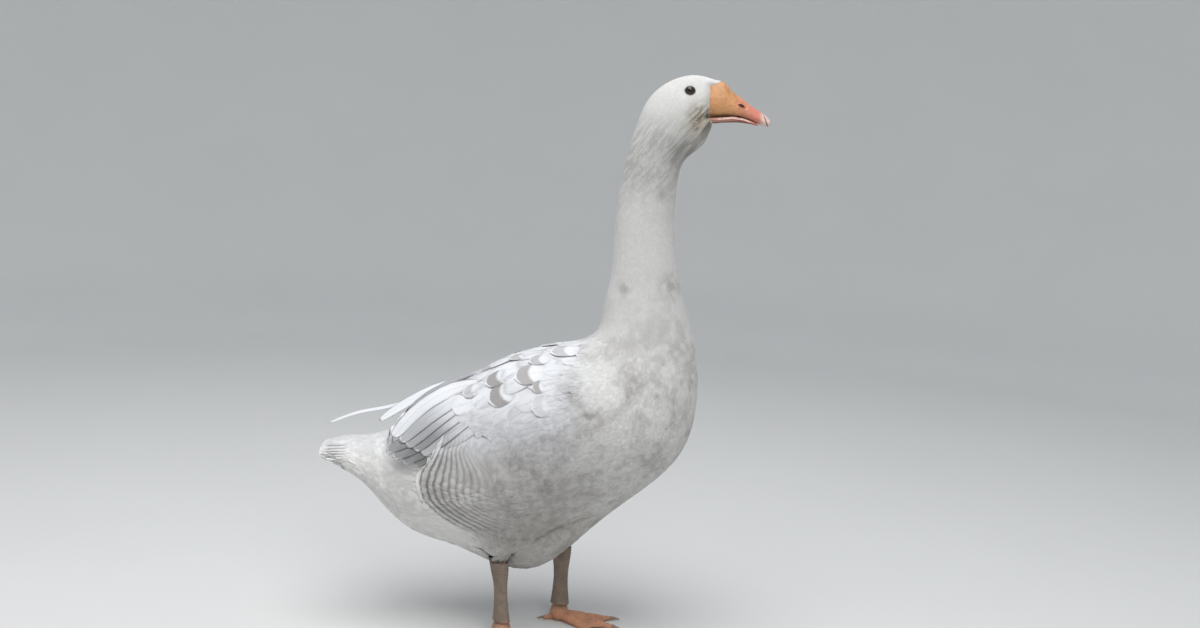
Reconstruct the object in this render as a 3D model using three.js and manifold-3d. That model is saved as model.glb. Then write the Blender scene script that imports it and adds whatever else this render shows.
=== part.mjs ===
// A white domestic goose standing with its neck up, as a still life-size solid model.
// Millimetres, +Z up. The bird faces +X, and +Y is its left side. The origin is on the floor,
// at the middle of the bird's box.
import * as THREE from "three";
import { mergeVertices } from "three/addons/utils/BufferGeometryUtils.js";
import Module from "manifold-3d";

const wasm = await Module();
wasm.setup();

// ---- Driving dimensions ----

const GAP = 0.3; // between neighbouring solids
const TRUNK_CLEARANCE = 0.8; // how far the trunk is grown before it cuts the wings and thighs
const FACE_CLEARANCE = 0.5; // how far the face is grown before it cuts the bill
const MOUTH_GAP = 0.6; // between the closed halves of the bill
const BODY_RINGS = 54;
const BODY_SIDES = 22;
const BODY_END = 0.035; // share of the sweep that rounds off each end of the body
const FACE_BULGE = 3;
const TAIL_BULGE = 5;

// The whole feathered body as sections from the face to the tail tip. Each joins a point of the
// throat, breast and belly line (under) to one of the crown, nape and back line (over), given
// as [x, z]; half is half the width there, low moves the widest place down the section, and keel
// narrows its lower part, where the belly hangs between the legs.
const BODY = [
  { under: [225, 722], over: [226, 791], half: 20, low: 0.1, keel: 0 }, // face
  { under: [219, 704], over: [211, 797], half: 25, low: 0.06, keel: 0 },
  { under: [208, 692], over: [188, 797], half: 29, low: 0, keel: 0 }, // eyes
  { under: [195, 683], over: [161, 788], half: 31, low: 0, keel: 0 },
  { under: [188, 671], over: [136, 763], half: 31.5, low: 0, keel: 0 },
  { under: [184, 653], over: [120, 724], half: 31, low: 0, keel: 0 }, // throat and nape
  { under: [182, 632], over: [109, 681], half: 30.5, low: 0, keel: 0 },
  { under: [182, 606], over: [102, 632], half: 31, low: 0, keel: 0 },
  { under: [185, 563], over: [98, 576], half: 33, low: 0, keel: 0 },
  { under: [193, 516], over: [97, 520], half: 36, low: 0, keel: 0 },
  { under: [206, 473], over: [88, 471], half: 42, low: 0, keel: 0 },
  { under: [219, 435], over: [86, 450], half: 50, low: 0, keel: 0 }, // foot of the neck
  { under: [227, 392], over: [79, 434], half: 61, low: 0.02, keel: 0 },
  { under: [228, 345], over: [65, 426], half: 74, low: 0.04, keel: 0 }, // breast
  { under: [223, 298], over: [49, 421], half: 86, low: 0.06, keel: 0 },
  { under: [206, 262], over: [32, 418], half: 99, low: 0.08, keel: 0 },
  { under: [180, 232], over: [13, 413], half: 108, low: 0.09, keel: 0.05 }, // shoulders
  { under: [142, 200], over: [-9, 406], half: 114, low: 0.1, keel: 0.14 },
  { under: [103, 164], over: [-34, 397], half: 119, low: 0.1, keel: 0.3 },
  { under: [66, 123], over: [-61, 385], half: 121, low: 0.1, keel: 0.48 },
  { under: [28, 84], over: [-89, 368], half: 116, low: 0.09, keel: 0.6 }, // belly
  { under: [-8, 76], over: [-115, 347], half: 110, low: 0.08, keel: 0.62 },
  { under: [-47, 89], over: [-141, 325], half: 101, low: 0.06, keel: 0.56 },
  { under: [-84, 110], over: [-165, 305], half: 90, low: 0.04, keel: 0.42 }, // vent
  { under: [-121, 123], over: [-186, 290], half: 78, low: 0.02, keel: 0.28 },
  { under: [-158, 133], over: [-205, 280], half: 66, low: 0, keel: 0.15 },
  { under: [-191, 157], over: [-222, 275], half: 55, low: 0, keel: 0.06 },
  { under: [-217, 186], over: [-239, 271], half: 48, low: 0, keel: 0 },
  { under: [-241, 209], over: [-259, 268], half: 45, low: -0.05, keel: 0 }, // tail
  { under: [-267, 223], over: [-279, 265], half: 43, low: -0.1, keel: 0 },
  { under: [-289, 238], over: [-293, 257], half: 38, low: -0.1, keel: 0 },
];

// Where the body is parted, as a point [x, z] on the cut and the way the cut faces.
const HEAD_CUT = { through: [150, 705], facing: [0.76, 0.65] };
const NECK_CUT = { through: [148, 570], facing: [0.08, 1] };
const TRUNK_CUT = { through: [150, 452], facing: [0, 1] };
const TAIL_CUT = { through: [-232, 230], facing: [-1, -0.1] };

// The eyes are balls sunk in the head.
const EYE = { x: 191, y: 18.4, z: 773, radius: 8.5 };

// The upper bill: its ridge (top), cutting edge (bottom) and half width along its length.
const UPPER_BILL = [
  { x: 214, top: 789.5, bottom: 739, half: 18 },
  { x: 228, top: 790.5, bottom: 738, half: 18 },
  { x: 239, top: 788.5, bottom: 740.5, half: 17.4 }, // knob
  { x: 250, top: 776, bottom: 741, half: 16 },
  { x: 262, top: 768.5, bottom: 740.5, half: 14.4 },
  { x: 275, top: 759.5, bottom: 737.5, half: 13 },
  { x: 287, top: 752, bottom: 733.5, half: 12 },
  { x: 296, top: 746, bottom: 731.5, half: 10.5 },
  { x: 302, top: 740.5, bottom: 731, half: 7.5 },
];
const LOWER_BILL = [
  { x: 214, top: 738, bottom: 724, half: 14.5 },
  { x: 232, top: 740, bottom: 726, half: 14 },
  { x: 250, top: 743, bottom: 727.5, half: 12.8 },
  { x: 266, top: 742, bottom: 729, half: 11 },
  { x: 279, top: 737.5, bottom: 729.8, half: 9 },
  { x: 286, top: 734, bottom: 730, half: 6 },
];
const BILL_RIDGE = 0.42; // how much narrower the upper bill is at its ridge than at its edge
const BILL_END = 0.09; // share of a bill's length that rounds off each end
const BILL_TIP_BULGE = 2.5;
const NAIL_CUT = { through: [293.5, 748], facing: [1, 0.42] };

// A folded wing lies on the body. Each section is placed on the body's own surface: at is the
// body section that it crosses, upper and lower the angles of its edges from the top of the
// back in degrees, proud its outer face's height over the body and inner that of its inner face.
const WING = [
  { at: 14.4, upper: 44, lower: 62, proud: 2, inner: -4 },
  { at: 15.4, upper: 28, lower: 74, proud: 6, inner: -4 },
  { at: 17, upper: 21, lower: 77, proud: 8, inner: -4 },
  { at: 19, upper: 19, lower: 68, proud: 9, inner: -4 },
  { at: 21, upper: 17, lower: 52, proud: 11, inner: -4 },
  { at: 22.4, upper: 17, lower: 59, proud: 17, inner: -3 },
  { at: 23.3, upper: 18, lower: 58, proud: 21, inner: 4 },
  { at: 24, upper: 20, lower: 52, proud: 26, inner: 14 },
  { at: 24.6, upper: 24, lower: 43, proud: 30, inner: 23 },
];
const WING_RINGS = 22;
const WING_SIDES = 12;
const WING_END = 0.06;

// Loose long feathers of the left wing that stand clear of the folded ones. Each is a blade
// along a path of [x, y, z] points, with its half width across and its half thickness. A blade
// has a share of its width at the root, is widest part way along, and leans over sideways.
const BLADE = { end: 0.08, rootShare: 0.55, widestAt: 0.65, levelShare: 0.8, tiltShare: 0.35 };
const LOOSE_FEATHERS = [
  { path: [[-88, 58, 350], [-140, 56, 336], [-188, 52, 310], [-226, 48, 282]], half: 12, thin: 2 },
  { path: [[-150, 56, 331], [-205, 66, 303], [-262, 74, 287], [-304.5, 74, 269]], half: 4.5, thin: 1.3 },
];

// The legs stand apart and out of step. Each has the x and y of its toe joint, the way its foot
// turns out in degrees, and the [x, y] of its ankle and of its thigh's start inside the body.
const LEGS = {
  right: { side: -1, x: -31, y: 43, turn: 36, ankle: [-39, 45], hip: [-43, 62] },
  left: { side: 1, x: 48, y: 43, turn: -20, ankle: [47, 45], hip: [36, 60] },
};
const HOCK_Z = 114;
const TOE_JOINT_Z = 21;
const SHANK_DEPTHS = [15, 13.5, 11.4, 11.2, 12.6, 15]; // half depths down the shank
const SHANK_WIDTHS = [12, 10.5, 7.2, 7, 8, 10]; // half widths down the shank
const THIGH_RADII = [40, 44, 42, 33, 18, 12]; // from the hip down to the ankle
const THIGH_FLATTER = 0.8; // a thigh's width across, as a share of its depth
const THIGH_OVERLAP = 10; // how far a thigh's taper runs on below the hock before it is cut off
const SHANK_OVERLAP = 6; // the same for a shank's rounded ends
const SHANK_BEND = 0.6; // under 1, the shank leans most near the hock
const HIP_Z = 195;

const ANKLE_BALL = { radius: 14, z: 12.5 }; // the joint where the toes meet

// Toes by their angle from the foot's line, length, and radius at the root and tip. Rise is how
// much higher a toe's root is than its tip.
const TOES = [
  { name: "inner", angle: 27, length: 70, root: 7.4, tip: 3.8, rise: 3 },
  { name: "middle", angle: 1, length: 88, root: 8.4, tip: 4, rise: 3 },
  { name: "outer", angle: -24, length: 80, root: 7.4, tip: 3.8, rise: 3 },
];
const HIND_TOE = { name: "hind", angle: 152, length: 24, root: 5, tip: 3.2, rise: 4 };
const TOE_FLAT = 0.74; // height of a toe's axis over the floor, in its own radius
const KNUCKLES = 3;
const KNUCKLE_SWELL = 0.07; // as a share of the toe's radius

// The webs reach most of the toes' length, and their front edges bow back by a share of it.
// They hang from the toes: high at the joint, low at the front edge.
const WEB = { thick: 1.6, reach: 0.96, notch: 0.16, rootZ: 8, edgeZ: 1.2 };

// A claw's root is sunk in its toe. Its axis starts over the toe's own and droops to the tip.
const CLAW = { length: 11, root: 3.1, taper: 0.72, narrow: 0.85, sunk: 0.7, over: 1.4, droop: 2.2 };

// ---- Materials ----

const finish = (color, roughness) =>
  new THREE.MeshStandardMaterial({ color, roughness, metalness: 0 });
const WHITE_FEATHER = finish(0xe9e7e4, 0.85);
const GREY_FEATHER = finish(0xc3bfbc, 0.85);
const BILL_SKIN = finish(0xe08a5a, 0.45);
const NAIL_HORN = finish(0xe6c8b8, 0.4);
const EYE_DARK = finish(0x2a211c, 0.1);
const SHANK_SKIN = finish(0xa97f70, 0.6);
const FOOT_SKIN = finish(0xd08863, 0.6);
const CLAW_HORN = finish(0xb9a08c, 0.5);

// ---- Shaping ----

const { degToRad: radians, lerp, clamp, smoothstep } = THREE.MathUtils;

// A smooth value through the given ones, for a place from 0 to their number less one.
function smooth(values) {
  const curve = new THREE.CatmullRomCurve3(
    values.map((value) => new THREE.Vector3(value, 0, 0)),
    false,
    "catmullrom",
  );
  return (at) => curve.getPoint(clamp(at / (values.length - 1), 0, 1)).x;
}

// A closed body made from a sphere, whose rings become the sections: pointAt gives the place
// for a share of the length, 0 to 1, and an angle round the section, 0 at its top.
function sweep(rings, sides, pointAt) {
  const geometry = new THREE.SphereGeometry(1, sides, rings);
  geometry.deleteAttribute("normal");
  geometry.deleteAttribute("uv");
  const merged = mergeVertices(geometry, 1e-5);
  const place = merged.attributes.position;
  for (let i = 0; i < place.count; i++) {
    const along = Math.acos(clamp(place.getY(i), -1, 1)) / Math.PI;
    const angle = Math.atan2(-place.getX(i), place.getZ(i));
    place.setXYZ(i, ...pointAt(along, angle));
  }
  return merged;
}

// A solid from a closed geometry, with its faces turned outwards if they point in.
function solid(geometry) {
  const vertProperties = geometry.attributes.position.array;
  const triVerts = new Uint32Array(geometry.index.array);
  const made = new wasm.Manifold(new wasm.Mesh({ numProp: 3, vertProperties, triVerts }));
  if (made.volume() > 0) return made;
  triVerts.reverse();
  return new wasm.Manifold(new wasm.Mesh({ numProp: 3, vertProperties, triVerts }));
}

function geometryOf(manifold) {
  const mesh = manifold.getMesh();
  const geometry = new THREE.BufferGeometry();
  geometry.setAttribute("position", new THREE.BufferAttribute(mesh.vertProperties, 3));
  geometry.setIndex(new THREE.BufferAttribute(mesh.triVerts, 1));
  geometry.computeVertexNormals();
  return geometry;
}

// The part of a solid on the facing side of a cut, kept half a gap away from it.
function beyond(whole, { through, facing }, turned = 1) {
  const way = new THREE.Vector2(...facing).normalize().multiplyScalar(turned);
  const depth = way.dot(new THREE.Vector2(...through)) + GAP / 2;
  return whole.trimByPlane([way.x, 0, way.y], depth);
}

const before = (whole, cut) => beyond(whole, cut, -1);

// A share of the length turned into one of the straight part, and the radius left by a round end.
function rounded(along, end) {
  const inside = clamp((along - end) / (1 - 2 * end), 0, 1);
  const left = Math.min(along, 1 - along) / end;
  const quarter = (Math.min(left, 1) * Math.PI) / 2;
  return { inside, radius: Math.sin(quarter), bulge: Math.cos(quarter) };
}

// ---- Body ----

const bodyLines = {
  underX: smooth(BODY.map((row) => row.under[0])),
  underZ: smooth(BODY.map((row) => row.under[1])),
  overX: smooth(BODY.map((row) => row.over[0])),
  overZ: smooth(BODY.map((row) => row.over[1])),
  half: smooth(BODY.map((row) => row.half)),
  low: smooth(BODY.map((row) => row.low)),
  keel: smooth(BODY.map((row) => row.keel)),
};

// A point of the body's surface, for a section (0 is the face), an angle from its top and a
// height over the surface.
function onBody(at, angle, height = 0, radius = 1) {
  const under = new THREE.Vector2(bodyLines.underX(at), bodyLines.underZ(at));
  const over = new THREE.Vector2(bodyLines.overX(at), bodyLines.overZ(at));
  const middle = under.clone().add(over).multiplyScalar(0.5);
  const rise = over.clone().sub(under).multiplyScalar(0.5);
  const up = Math.cos(angle) * radius;
  const out = Math.sin(angle) * radius;
  const tall = (rise.length() + height) * up;
  const below = smoothstep(-Math.cos(angle), 0.1, 0.75);
  const narrow = (1 - bodyLines.low(at) * up) * (1 - bodyLines.keel(at) * below);
  const wide = (bodyLines.half(at) * narrow + height) * out;
  const place = middle.add(rise.normalize().multiplyScalar(tall));
  return [place.x, wide, place.y];
}

function bodySolid(height = 0) {
  const last = BODY.length - 1;
  return solid(
    sweep(BODY_RINGS, BODY_SIDES, (along, angle) => {
      const { inside, radius, bulge } = rounded(along, BODY_END);
      const [x, y, z] = onBody(inside * last, angle, height, radius);
      const front = along < BODY_END ? (FACE_BULGE + height) * bulge : 0;
      const rear = along > 1 - BODY_END ? (TAIL_BULGE + height) * bulge : 0;
      return [x + front - rear, y, z];
    }),
  );
}

// ---- Wings ----

const wingLines = {
  at: smooth(WING.map((row) => row.at)),
  upper: smooth(WING.map((row) => row.upper)),
  lower: smooth(WING.map((row) => row.lower)),
  proud: smooth(WING.map((row) => row.proud)),
  inner: smooth(WING.map((row) => row.inner)),
};

function wingSolid(side, trunkGrown) {
  const shell = sweep(WING_RINGS, WING_SIDES, (along, angle) => {
    const { inside, radius } = rounded(along, WING_END);
    const at = inside * (WING.length - 1);
    const across = Math.cos(angle) * radius;
    const outward = Math.sin(angle);
    const share = (1 + across) / 2;
    const turn = radians(lerp(wingLines.lower(at), wingLines.upper(at), share));
    const inner = wingLines.inner(at);
    const thick = (wingLines.proud(at) - inner) * radius;
    const height = inner + thick * Math.sqrt(Math.max(outward, 0));
    const [x, y, z] = onBody(wingLines.at(at), turn, height);
    return [x, y * side, z];
  });
  return solid(shell).subtract(trunkGrown);
}

// A long loose feather: a thin blade along its path, widest past its middle.
function featherSolid({ path, half, thin }) {
  const line = new THREE.CatmullRomCurve3(path.map((point) => new THREE.Vector3(...point)));
  const { end, rootShare, widestAt, levelShare, tiltShare } = BLADE;
  const rings = 12;
  const sides = 6;
  const blade = sweep(rings, sides, (along, angle) => {
    const { inside, radius } = rounded(along, end);
    const place = line.getPoint(inside);
    const full = Math.sin((inside / widestAt) * (Math.PI / 2));
    const across = Math.cos(angle) * half * radius * lerp(rootShare, 1, full);
    const thick = Math.sin(angle) * thin * radius;
    return [place.x, place.y + across * levelShare, place.z + across * tiltShare + thick];
  });
  return solid(blade);
}

// ---- Bill, eyes ----

// Half a bill: rows of its top, bottom and half width, narrowed towards its ridge.
function billSolid(rows, ridge, rings, sides) {
  const line = (key) => smooth(rows.map((row) => row[key]));
  const [x, top, bottom, half] = ["x", "top", "bottom", "half"].map(line);
  const last = rows.length - 1;
  return solid(
    sweep(rings, sides, (along, angle) => {
      const { inside, radius, bulge } = rounded(along, BILL_END);
      const at = inside * last;
      const up = Math.cos(angle);
      const tall = ((top(at) - bottom(at)) / 2) * up * radius;
      const wide = half(at) * Math.sin(angle) * radius * (1 - (ridge * (up + 1)) / 2);
      const tip = along > 0.5 ? BILL_TIP_BULGE * bulge : 0;
      return [x(at) + tip, wide, (top(at) + bottom(at)) / 2 + tall];
    }),
  );
}

function ball(x, y, z, radius) {
  const rings = 8;
  const sides = 10;
  return solid(
    sweep(rings, sides, (along, angle) => {
      const lean = along * Math.PI;
      const out = radius * Math.sin(lean);
      return [x + out * Math.sin(angle), y + radius * Math.cos(lean), z + out * Math.cos(angle)];
    }),
  );
}

// ---- Legs ----

// A feathered thigh, from inside the body down to the ankle, cut flat at its lower end.
function thighSolid(leg, trunkGrown) {
  const [hipX, hipY] = leg.hip;
  const [ankleX, ankleY] = leg.ankle;
  const sizes = smooth(THIGH_RADII);
  const rings = 12;
  const sides = 12;
  const end = 0.12;
  const bulk = sweep(rings, sides, (along, angle) => {
    const { inside, radius } = rounded(along, end);
    const size = sizes(along * (THIGH_RADII.length - 1)) * radius;
    const x = lerp(hipX, ankleX, inside) - Math.cos(angle) * size;
    const y = lerp(hipY, ankleY, inside) + Math.sin(angle) * size * THIGH_FLATTER;
    return [x, y * leg.side, lerp(HIP_Z, HOCK_Z - THIGH_OVERLAP, along)];
  });
  return solid(bulk).subtract(trunkGrown).trimByPlane([0, 0, 1], HOCK_Z);
}

// The scaly shank between the ankle and the toe joint, deep from front to back and thin across.
function shankSolid(leg, trunkGrown) {
  const depth = smooth(SHANK_DEPTHS);
  const width = smooth(SHANK_WIDTHS);
  const turn = radians(leg.turn);
  const rings = 10;
  const sides = 10;
  const end = 0.06;
  const topZ = HOCK_Z + SHANK_OVERLAP;
  const bottomZ = TOE_JOINT_Z - SHANK_OVERLAP;
  const bulk = sweep(rings, sides, (along, angle) => {
    const { inside, radius } = rounded(along, end);
    const at = inside * (SHANK_DEPTHS.length - 1);
    const forward = Math.cos(angle) * depth(at) * radius;
    const out = Math.sin(angle) * width(at) * radius;
    const x = lerp(leg.ankle[0], leg.x, Math.pow(inside, SHANK_BEND));
    const y = lerp(leg.ankle[1], leg.y, inside);
    const turnedX = x + forward * Math.cos(turn) - out * Math.sin(turn);
    const turnedY = y + forward * Math.sin(turn) + out * Math.cos(turn);
    return [turnedX, turnedY * leg.side, lerp(topZ, bottomZ, along)];
  });
  return solid(bulk)
    .subtract(trunkGrown)
    .trimByPlane([0, 0, 1], TOE_JOINT_Z + GAP / 2)
    .trimByPlane([0, 0, -1], -(HOCK_Z - GAP));
}

// The direction of a toe over the floor.
function toeWay(leg, toe) {
  const turn = radians(leg.turn - toe.angle);
  return [Math.cos(turn), Math.sin(turn) * leg.side];
}

function toeSolid(leg, toe) {
  const [wayX, wayY] = toeWay(leg, toe);
  const rings = 10;
  const sides = 7;
  const end = 0.1;
  return solid(
    sweep(rings, sides, (along, angle) => {
      const { inside, radius } = rounded(along, end);
      const swell = 1 + KNUCKLE_SWELL * Math.cos(inside * KNUCKLES * 2 * Math.PI);
      const size = lerp(toe.root, toe.tip, inside) * swell;
      const forward = along * toe.length;
      const out = Math.sin(angle) * size * radius;
      const base = size * TOE_FLAT + toe.rise * (1 - inside);
      const z = base + Math.cos(angle) * size * radius;
      const x = leg.x + wayX * forward + wayY * out;
      return [x, leg.y * leg.side + wayY * forward - wayX * out, z];
    }),
  );
}

// The claw of a toe, drooping to a blunt point that stays over the floor.
function clawSolid(leg, toe) {
  const [wayX, wayY] = toeWay(leg, toe);
  const root = CLAW.root * (toe.tip / TOES[1].tip);
  const rings = 6;
  const sides = 6;
  const end = 0.16;
  return solid(
    sweep(rings, sides, (along, angle) => {
      const { inside, radius } = rounded(along, end);
      const size = root * (1 - CLAW.taper * inside) * radius;
      const forward = toe.length - CLAW.sunk + CLAW.length * along;
      const out = Math.sin(angle) * size * CLAW.narrow;
      const axisZ = toe.tip * TOE_FLAT + CLAW.over - CLAW.droop * along * along;
      const z = axisZ + Math.cos(angle) * size;
      const x = leg.x + wayX * forward + wayY * out;
      return [x, leg.y * leg.side + wayY * forward - wayX * out, z];
    }),
  );
}

// The web between two toes: a thin sheet from the toe joint to their tips, its front edge bowed back.
function webSolid(leg, toe, nextToe) {
  const [ax, ay] = toeWay(leg, toe).map((part) => part * toe.length * WEB.reach);
  const [bx, by] = toeWay(leg, nextToe).map((part) => part * nextToe.length * WEB.reach);
  const bow = 1 - 2 * WEB.notch;
  const outline = new THREE.Shape();
  outline.moveTo(0, 0);
  outline.lineTo(ax, ay);
  outline.quadraticCurveTo(((ax + bx) / 2) * bow, ((ay + by) / 2) * bow, bx, by);
  outline.closePath();
  const sheet = new THREE.ExtrudeGeometry(outline, {
    depth: WEB.thick,
    bevelEnabled: false,
    curveSegments: 5,
  });
  sheet.deleteAttribute("normal");
  sheet.deleteAttribute("uv");
  const merged = mergeVertices(sheet, 1e-4);
  const place = merged.attributes.position;
  for (let i = 0; i < place.count; i++) {
    const far = Math.hypot(place.getX(i), place.getY(i)) / TOES[1].length;
    const lift = lerp(WEB.rootZ, WEB.edgeZ, Math.min(far, 1));
    const y = leg.y * leg.side + place.getY(i);
    place.setXYZ(i, leg.x + place.getX(i), y, place.getZ(i) + lift);
  }
  return solid(merged);
}

// The foot: three webbed toes, a hind toe and the joint, flat underneath where it meets the floor.
function footSolid(leg) {
  let foot = ball(leg.x, leg.y * leg.side, ANKLE_BALL.z, ANKLE_BALL.radius);
  [...TOES, HIND_TOE].forEach((toe) => {
    foot = foot.add(toeSolid(leg, toe));
  });
  foot = foot.add(webSolid(leg, TOES[0], TOES[1]));
  foot = foot.add(webSolid(leg, TOES[1], TOES[2]));
  return foot.trimByPlane([0, 0, 1], 0).trimByPlane([0, 0, -1], -(TOE_JOINT_Z - GAP / 2));
}

// ---- Assembly ----

const goose = new THREE.Group();

function place(name, manifold, material) {
  const mesh = new THREE.Mesh(geometryOf(manifold), material);
  mesh.name = name;
  goose.add(mesh);
}

const body = bodySolid();
const bodyGrown = bodySolid(TRUNK_CLEARANCE);
const head = beyond(body, HEAD_CUT);
const neck = before(body, HEAD_CUT);
const sockets = [1, -1].map((side) => ball(EYE.x, EYE.y * side, EYE.z, EYE.radius + GAP));
place("head", head.subtract(sockets[0]).subtract(sockets[1]), WHITE_FEATHER);
place("neck_upper", beyond(neck, NECK_CUT), WHITE_FEATHER);
place("neck_lower", beyond(before(neck, NECK_CUT), TRUNK_CUT), WHITE_FEATHER);
const rump = before(neck, TRUNK_CUT);
place("trunk", before(rump, TAIL_CUT), GREY_FEATHER);
place("tail", beyond(rump, TAIL_CUT), WHITE_FEATHER);

const headGrown = beyond(bodySolid(FACE_CLEARANCE), HEAD_CUT);
const upperBill = (rows) => billSolid(rows, BILL_RIDGE, 18, 14);
const lower = billSolid(LOWER_BILL, 0, 12, 10);
const loweredRows = UPPER_BILL.map((row) => ({ ...row, bottom: row.bottom - MOUTH_GAP }));
const upperGrown = upperBill(loweredRows);
const beyondFace = upperBill(UPPER_BILL).subtract(headGrown);
place("bill_upper", before(beyondFace, NAIL_CUT), BILL_SKIN);
place("bill_nail", beyond(beyondFace, NAIL_CUT), NAIL_HORN);
place("bill_lower", lower.subtract(headGrown).subtract(upperGrown), BILL_SKIN);

for (const [name, leg] of Object.entries(LEGS)) {
  place(`eye_${name}`, ball(EYE.x, EYE.y * leg.side, EYE.z, EYE.radius), EYE_DARK);
  let wing = wingSolid(leg.side, bodyGrown);
  if (name === "left") {
    LOOSE_FEATHERS.forEach((feather) => {
      wing = wing.add(featherSolid(feather));
    });
    wing = wing.subtract(bodyGrown);
  }
  place(`wing_${name}`, wing, GREY_FEATHER);
  place(`thigh_${name}`, thighSolid(leg, bodyGrown), WHITE_FEATHER);
  place(`shank_${name}`, shankSolid(leg, bodyGrown), SHANK_SKIN);
  const foot = footSolid(leg);
  place(`foot_${name}`, foot, FOOT_SKIN);
  [...TOES, HIND_TOE].forEach((toe) => {
    place(`claw_${name}_${toe.name}`, clawSolid(leg, toe).subtract(foot), CLAW_HORN);
  });
}

export default goose;
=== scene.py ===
# The looks of a white domestic goose, a still life-size model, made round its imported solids.
# Metres, +Z up. The bird faces +X, and +Y is its left side. One skin stands for all the soft
# nodes, and the feathers over it are thin closed vanes that follow the lie of the coat.
import math

import bpy
import numpy as np
from mathutils import Matrix, Vector
from mathutils.bvhtree import BVHTree
from mathutils.kdtree import KDTree


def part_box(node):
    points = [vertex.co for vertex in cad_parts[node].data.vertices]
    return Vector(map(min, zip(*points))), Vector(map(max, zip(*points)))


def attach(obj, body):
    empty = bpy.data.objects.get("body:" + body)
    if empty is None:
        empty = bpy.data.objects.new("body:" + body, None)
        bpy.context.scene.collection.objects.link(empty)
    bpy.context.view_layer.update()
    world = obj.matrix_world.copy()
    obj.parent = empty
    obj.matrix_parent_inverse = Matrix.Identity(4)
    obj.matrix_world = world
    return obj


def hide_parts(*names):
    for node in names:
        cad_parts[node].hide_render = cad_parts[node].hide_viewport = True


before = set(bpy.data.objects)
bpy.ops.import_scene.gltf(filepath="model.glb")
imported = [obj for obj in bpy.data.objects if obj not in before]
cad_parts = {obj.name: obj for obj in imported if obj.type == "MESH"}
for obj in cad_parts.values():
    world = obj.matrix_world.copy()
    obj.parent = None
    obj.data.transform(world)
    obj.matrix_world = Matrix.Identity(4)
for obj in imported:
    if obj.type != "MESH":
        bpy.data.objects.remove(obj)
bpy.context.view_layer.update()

MM = 0.001
rng = np.random.default_rng(11)
SIDES = {"right": -1, "left": 1}

# ---- Driving places ----

# Sections of the body from the face to the tail tip: the centre's x and z, and how far the
# section leans back from upright, in degrees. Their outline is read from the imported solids.
SECTIONS = (
    (0.2255, 0.7565, 1),  # face
    (0.198, 0.7445, 11),  # eyes
    (0.162, 0.717, 30),
    (0.152, 0.6885, 42),  # throat and nape
    (0.142, 0.619, 72),
    (0.145, 0.518, 88),  # middle of the neck
    (0.147, 0.472, 91),
    (0.153, 0.413, 74),
    (0.136, 0.3595, 55),  # breast
    (0.0965, 0.3225, 43),  # shoulders
    (0.0345, 0.2805, 30),
    (-0.0305, 0.226, 22),  # belly
    (-0.094, 0.207, 22),
    (-0.1535, 0.2065, 21),
    (-0.2065, 0.216, 15),
    (-0.250, 0.2385, 17),  # tail
    (-0.291, 0.2475, 12),
)
LAST_SECTION = len(SECTIONS) - 1
BODY_ROWS = 360
BODY_COLUMNS = 180
BODY_NODES = ("head", "neck_upper", "neck_lower", "trunk", "tail")
SMOOTHING = 4.0  # grid steps over which the facets of the solids are evened out

# How the coat changes from the face to the tail tip, by place along SECTIONS.
COAT_AT = (0, 1, 3, 5, 6.5, 8, 10, 12, 14, 16)
COAT_DEPTH = np.array((0.6, 0.9, 1.6, 2.0, 2.2, 2.4, 2.8, 2.8, 2.6, 2.2)) * MM
TUFT_SPACING = np.array((1.2, 1.5, 1.9, 2.2, 2.6, 3.2, 4.6, 5.0, 4.6, 4.2)) * MM
TUFT_LENGTH = np.array((3.6, 5.0, 8.5, 11, 13, 15, 20, 22, 22, 18)) * MM
TUFT_WIDTH = np.array((1.1, 1.4, 1.8, 2.2, 2.8, 3.6, 5.0, 5.6, 5.2, 4.4)) * MM


def curve(rows, at):
    """Smooth values through the given rows, for places from 0 to their number less one."""
    rows = np.asarray(rows, float)
    flat = rows.ndim == 1
    rows = rows[:, None] if flat else rows
    first = 2 * rows[:1] - rows[1:2]
    last = 2 * rows[-1:] - rows[-2:-1]
    padded = np.concatenate([first, rows, last])
    at = np.clip(np.asarray(at, float), 0, len(rows) - 1 - 1e-9)
    index = at.astype(int)
    t = (at - index)[..., None]
    a, b, c, d = (padded[index + k] for k in range(4))
    value = b + 0.5 * t * (c - a + t * (2 * a - 5 * b + 4 * c - d + t * (3 * (b - c) + d - a)))
    return value[..., 0] if flat else value


def unit(vectors):
    return vectors / np.maximum(np.linalg.norm(vectors, axis=-1, keepdims=True), 1e-12)


def ease(value, low, high):
    """0 below low, 1 above high, and smooth between them; low may be the larger one."""
    share = np.clip((value - low) / (high - low), 0, 1)
    return share * share * (3 - 2 * share)


def blurred(grid, sigma, axis):
    """The grid evened out along its rows, which end, or its columns, which go round."""
    half = int(3 * sigma)
    weights = np.exp(-0.5 * (np.arange(-half, half + 1) / sigma) ** 2)
    weights /= weights.sum()
    pad = [(0, 0)] * grid.ndim
    pad[axis] = (half, half)
    padded = np.pad(grid, pad, mode="wrap" if axis else "edge")
    size = grid.shape[axis]
    return sum(w * np.take(padded, np.arange(k, k + size), axis) for k, w in enumerate(weights))


def evened_out(grid, along, across):
    return blurred(blurred(grid, along, 0), across, 1)


def bump(value, width):
    """1 where the value is 0, falling away smoothly over the width."""
    return np.exp(-((value / width) ** 2))


def hashed(cells, seed):
    """A random number from 0 to 1 for each whole-numbered cell."""
    mixed = cells[..., 0] * 374761393 + cells[..., 1] * 668265263 + cells[..., 2] * 1440662683
    mixed = (mixed + seed * 974634777) & 0xFFFFFFFF
    mixed = ((mixed ^ (mixed >> 13)) * 1274126177) & 0xFFFFFFFF
    return ((mixed ^ (mixed >> 16)) & 0xFFFF) / 65535.0


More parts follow.
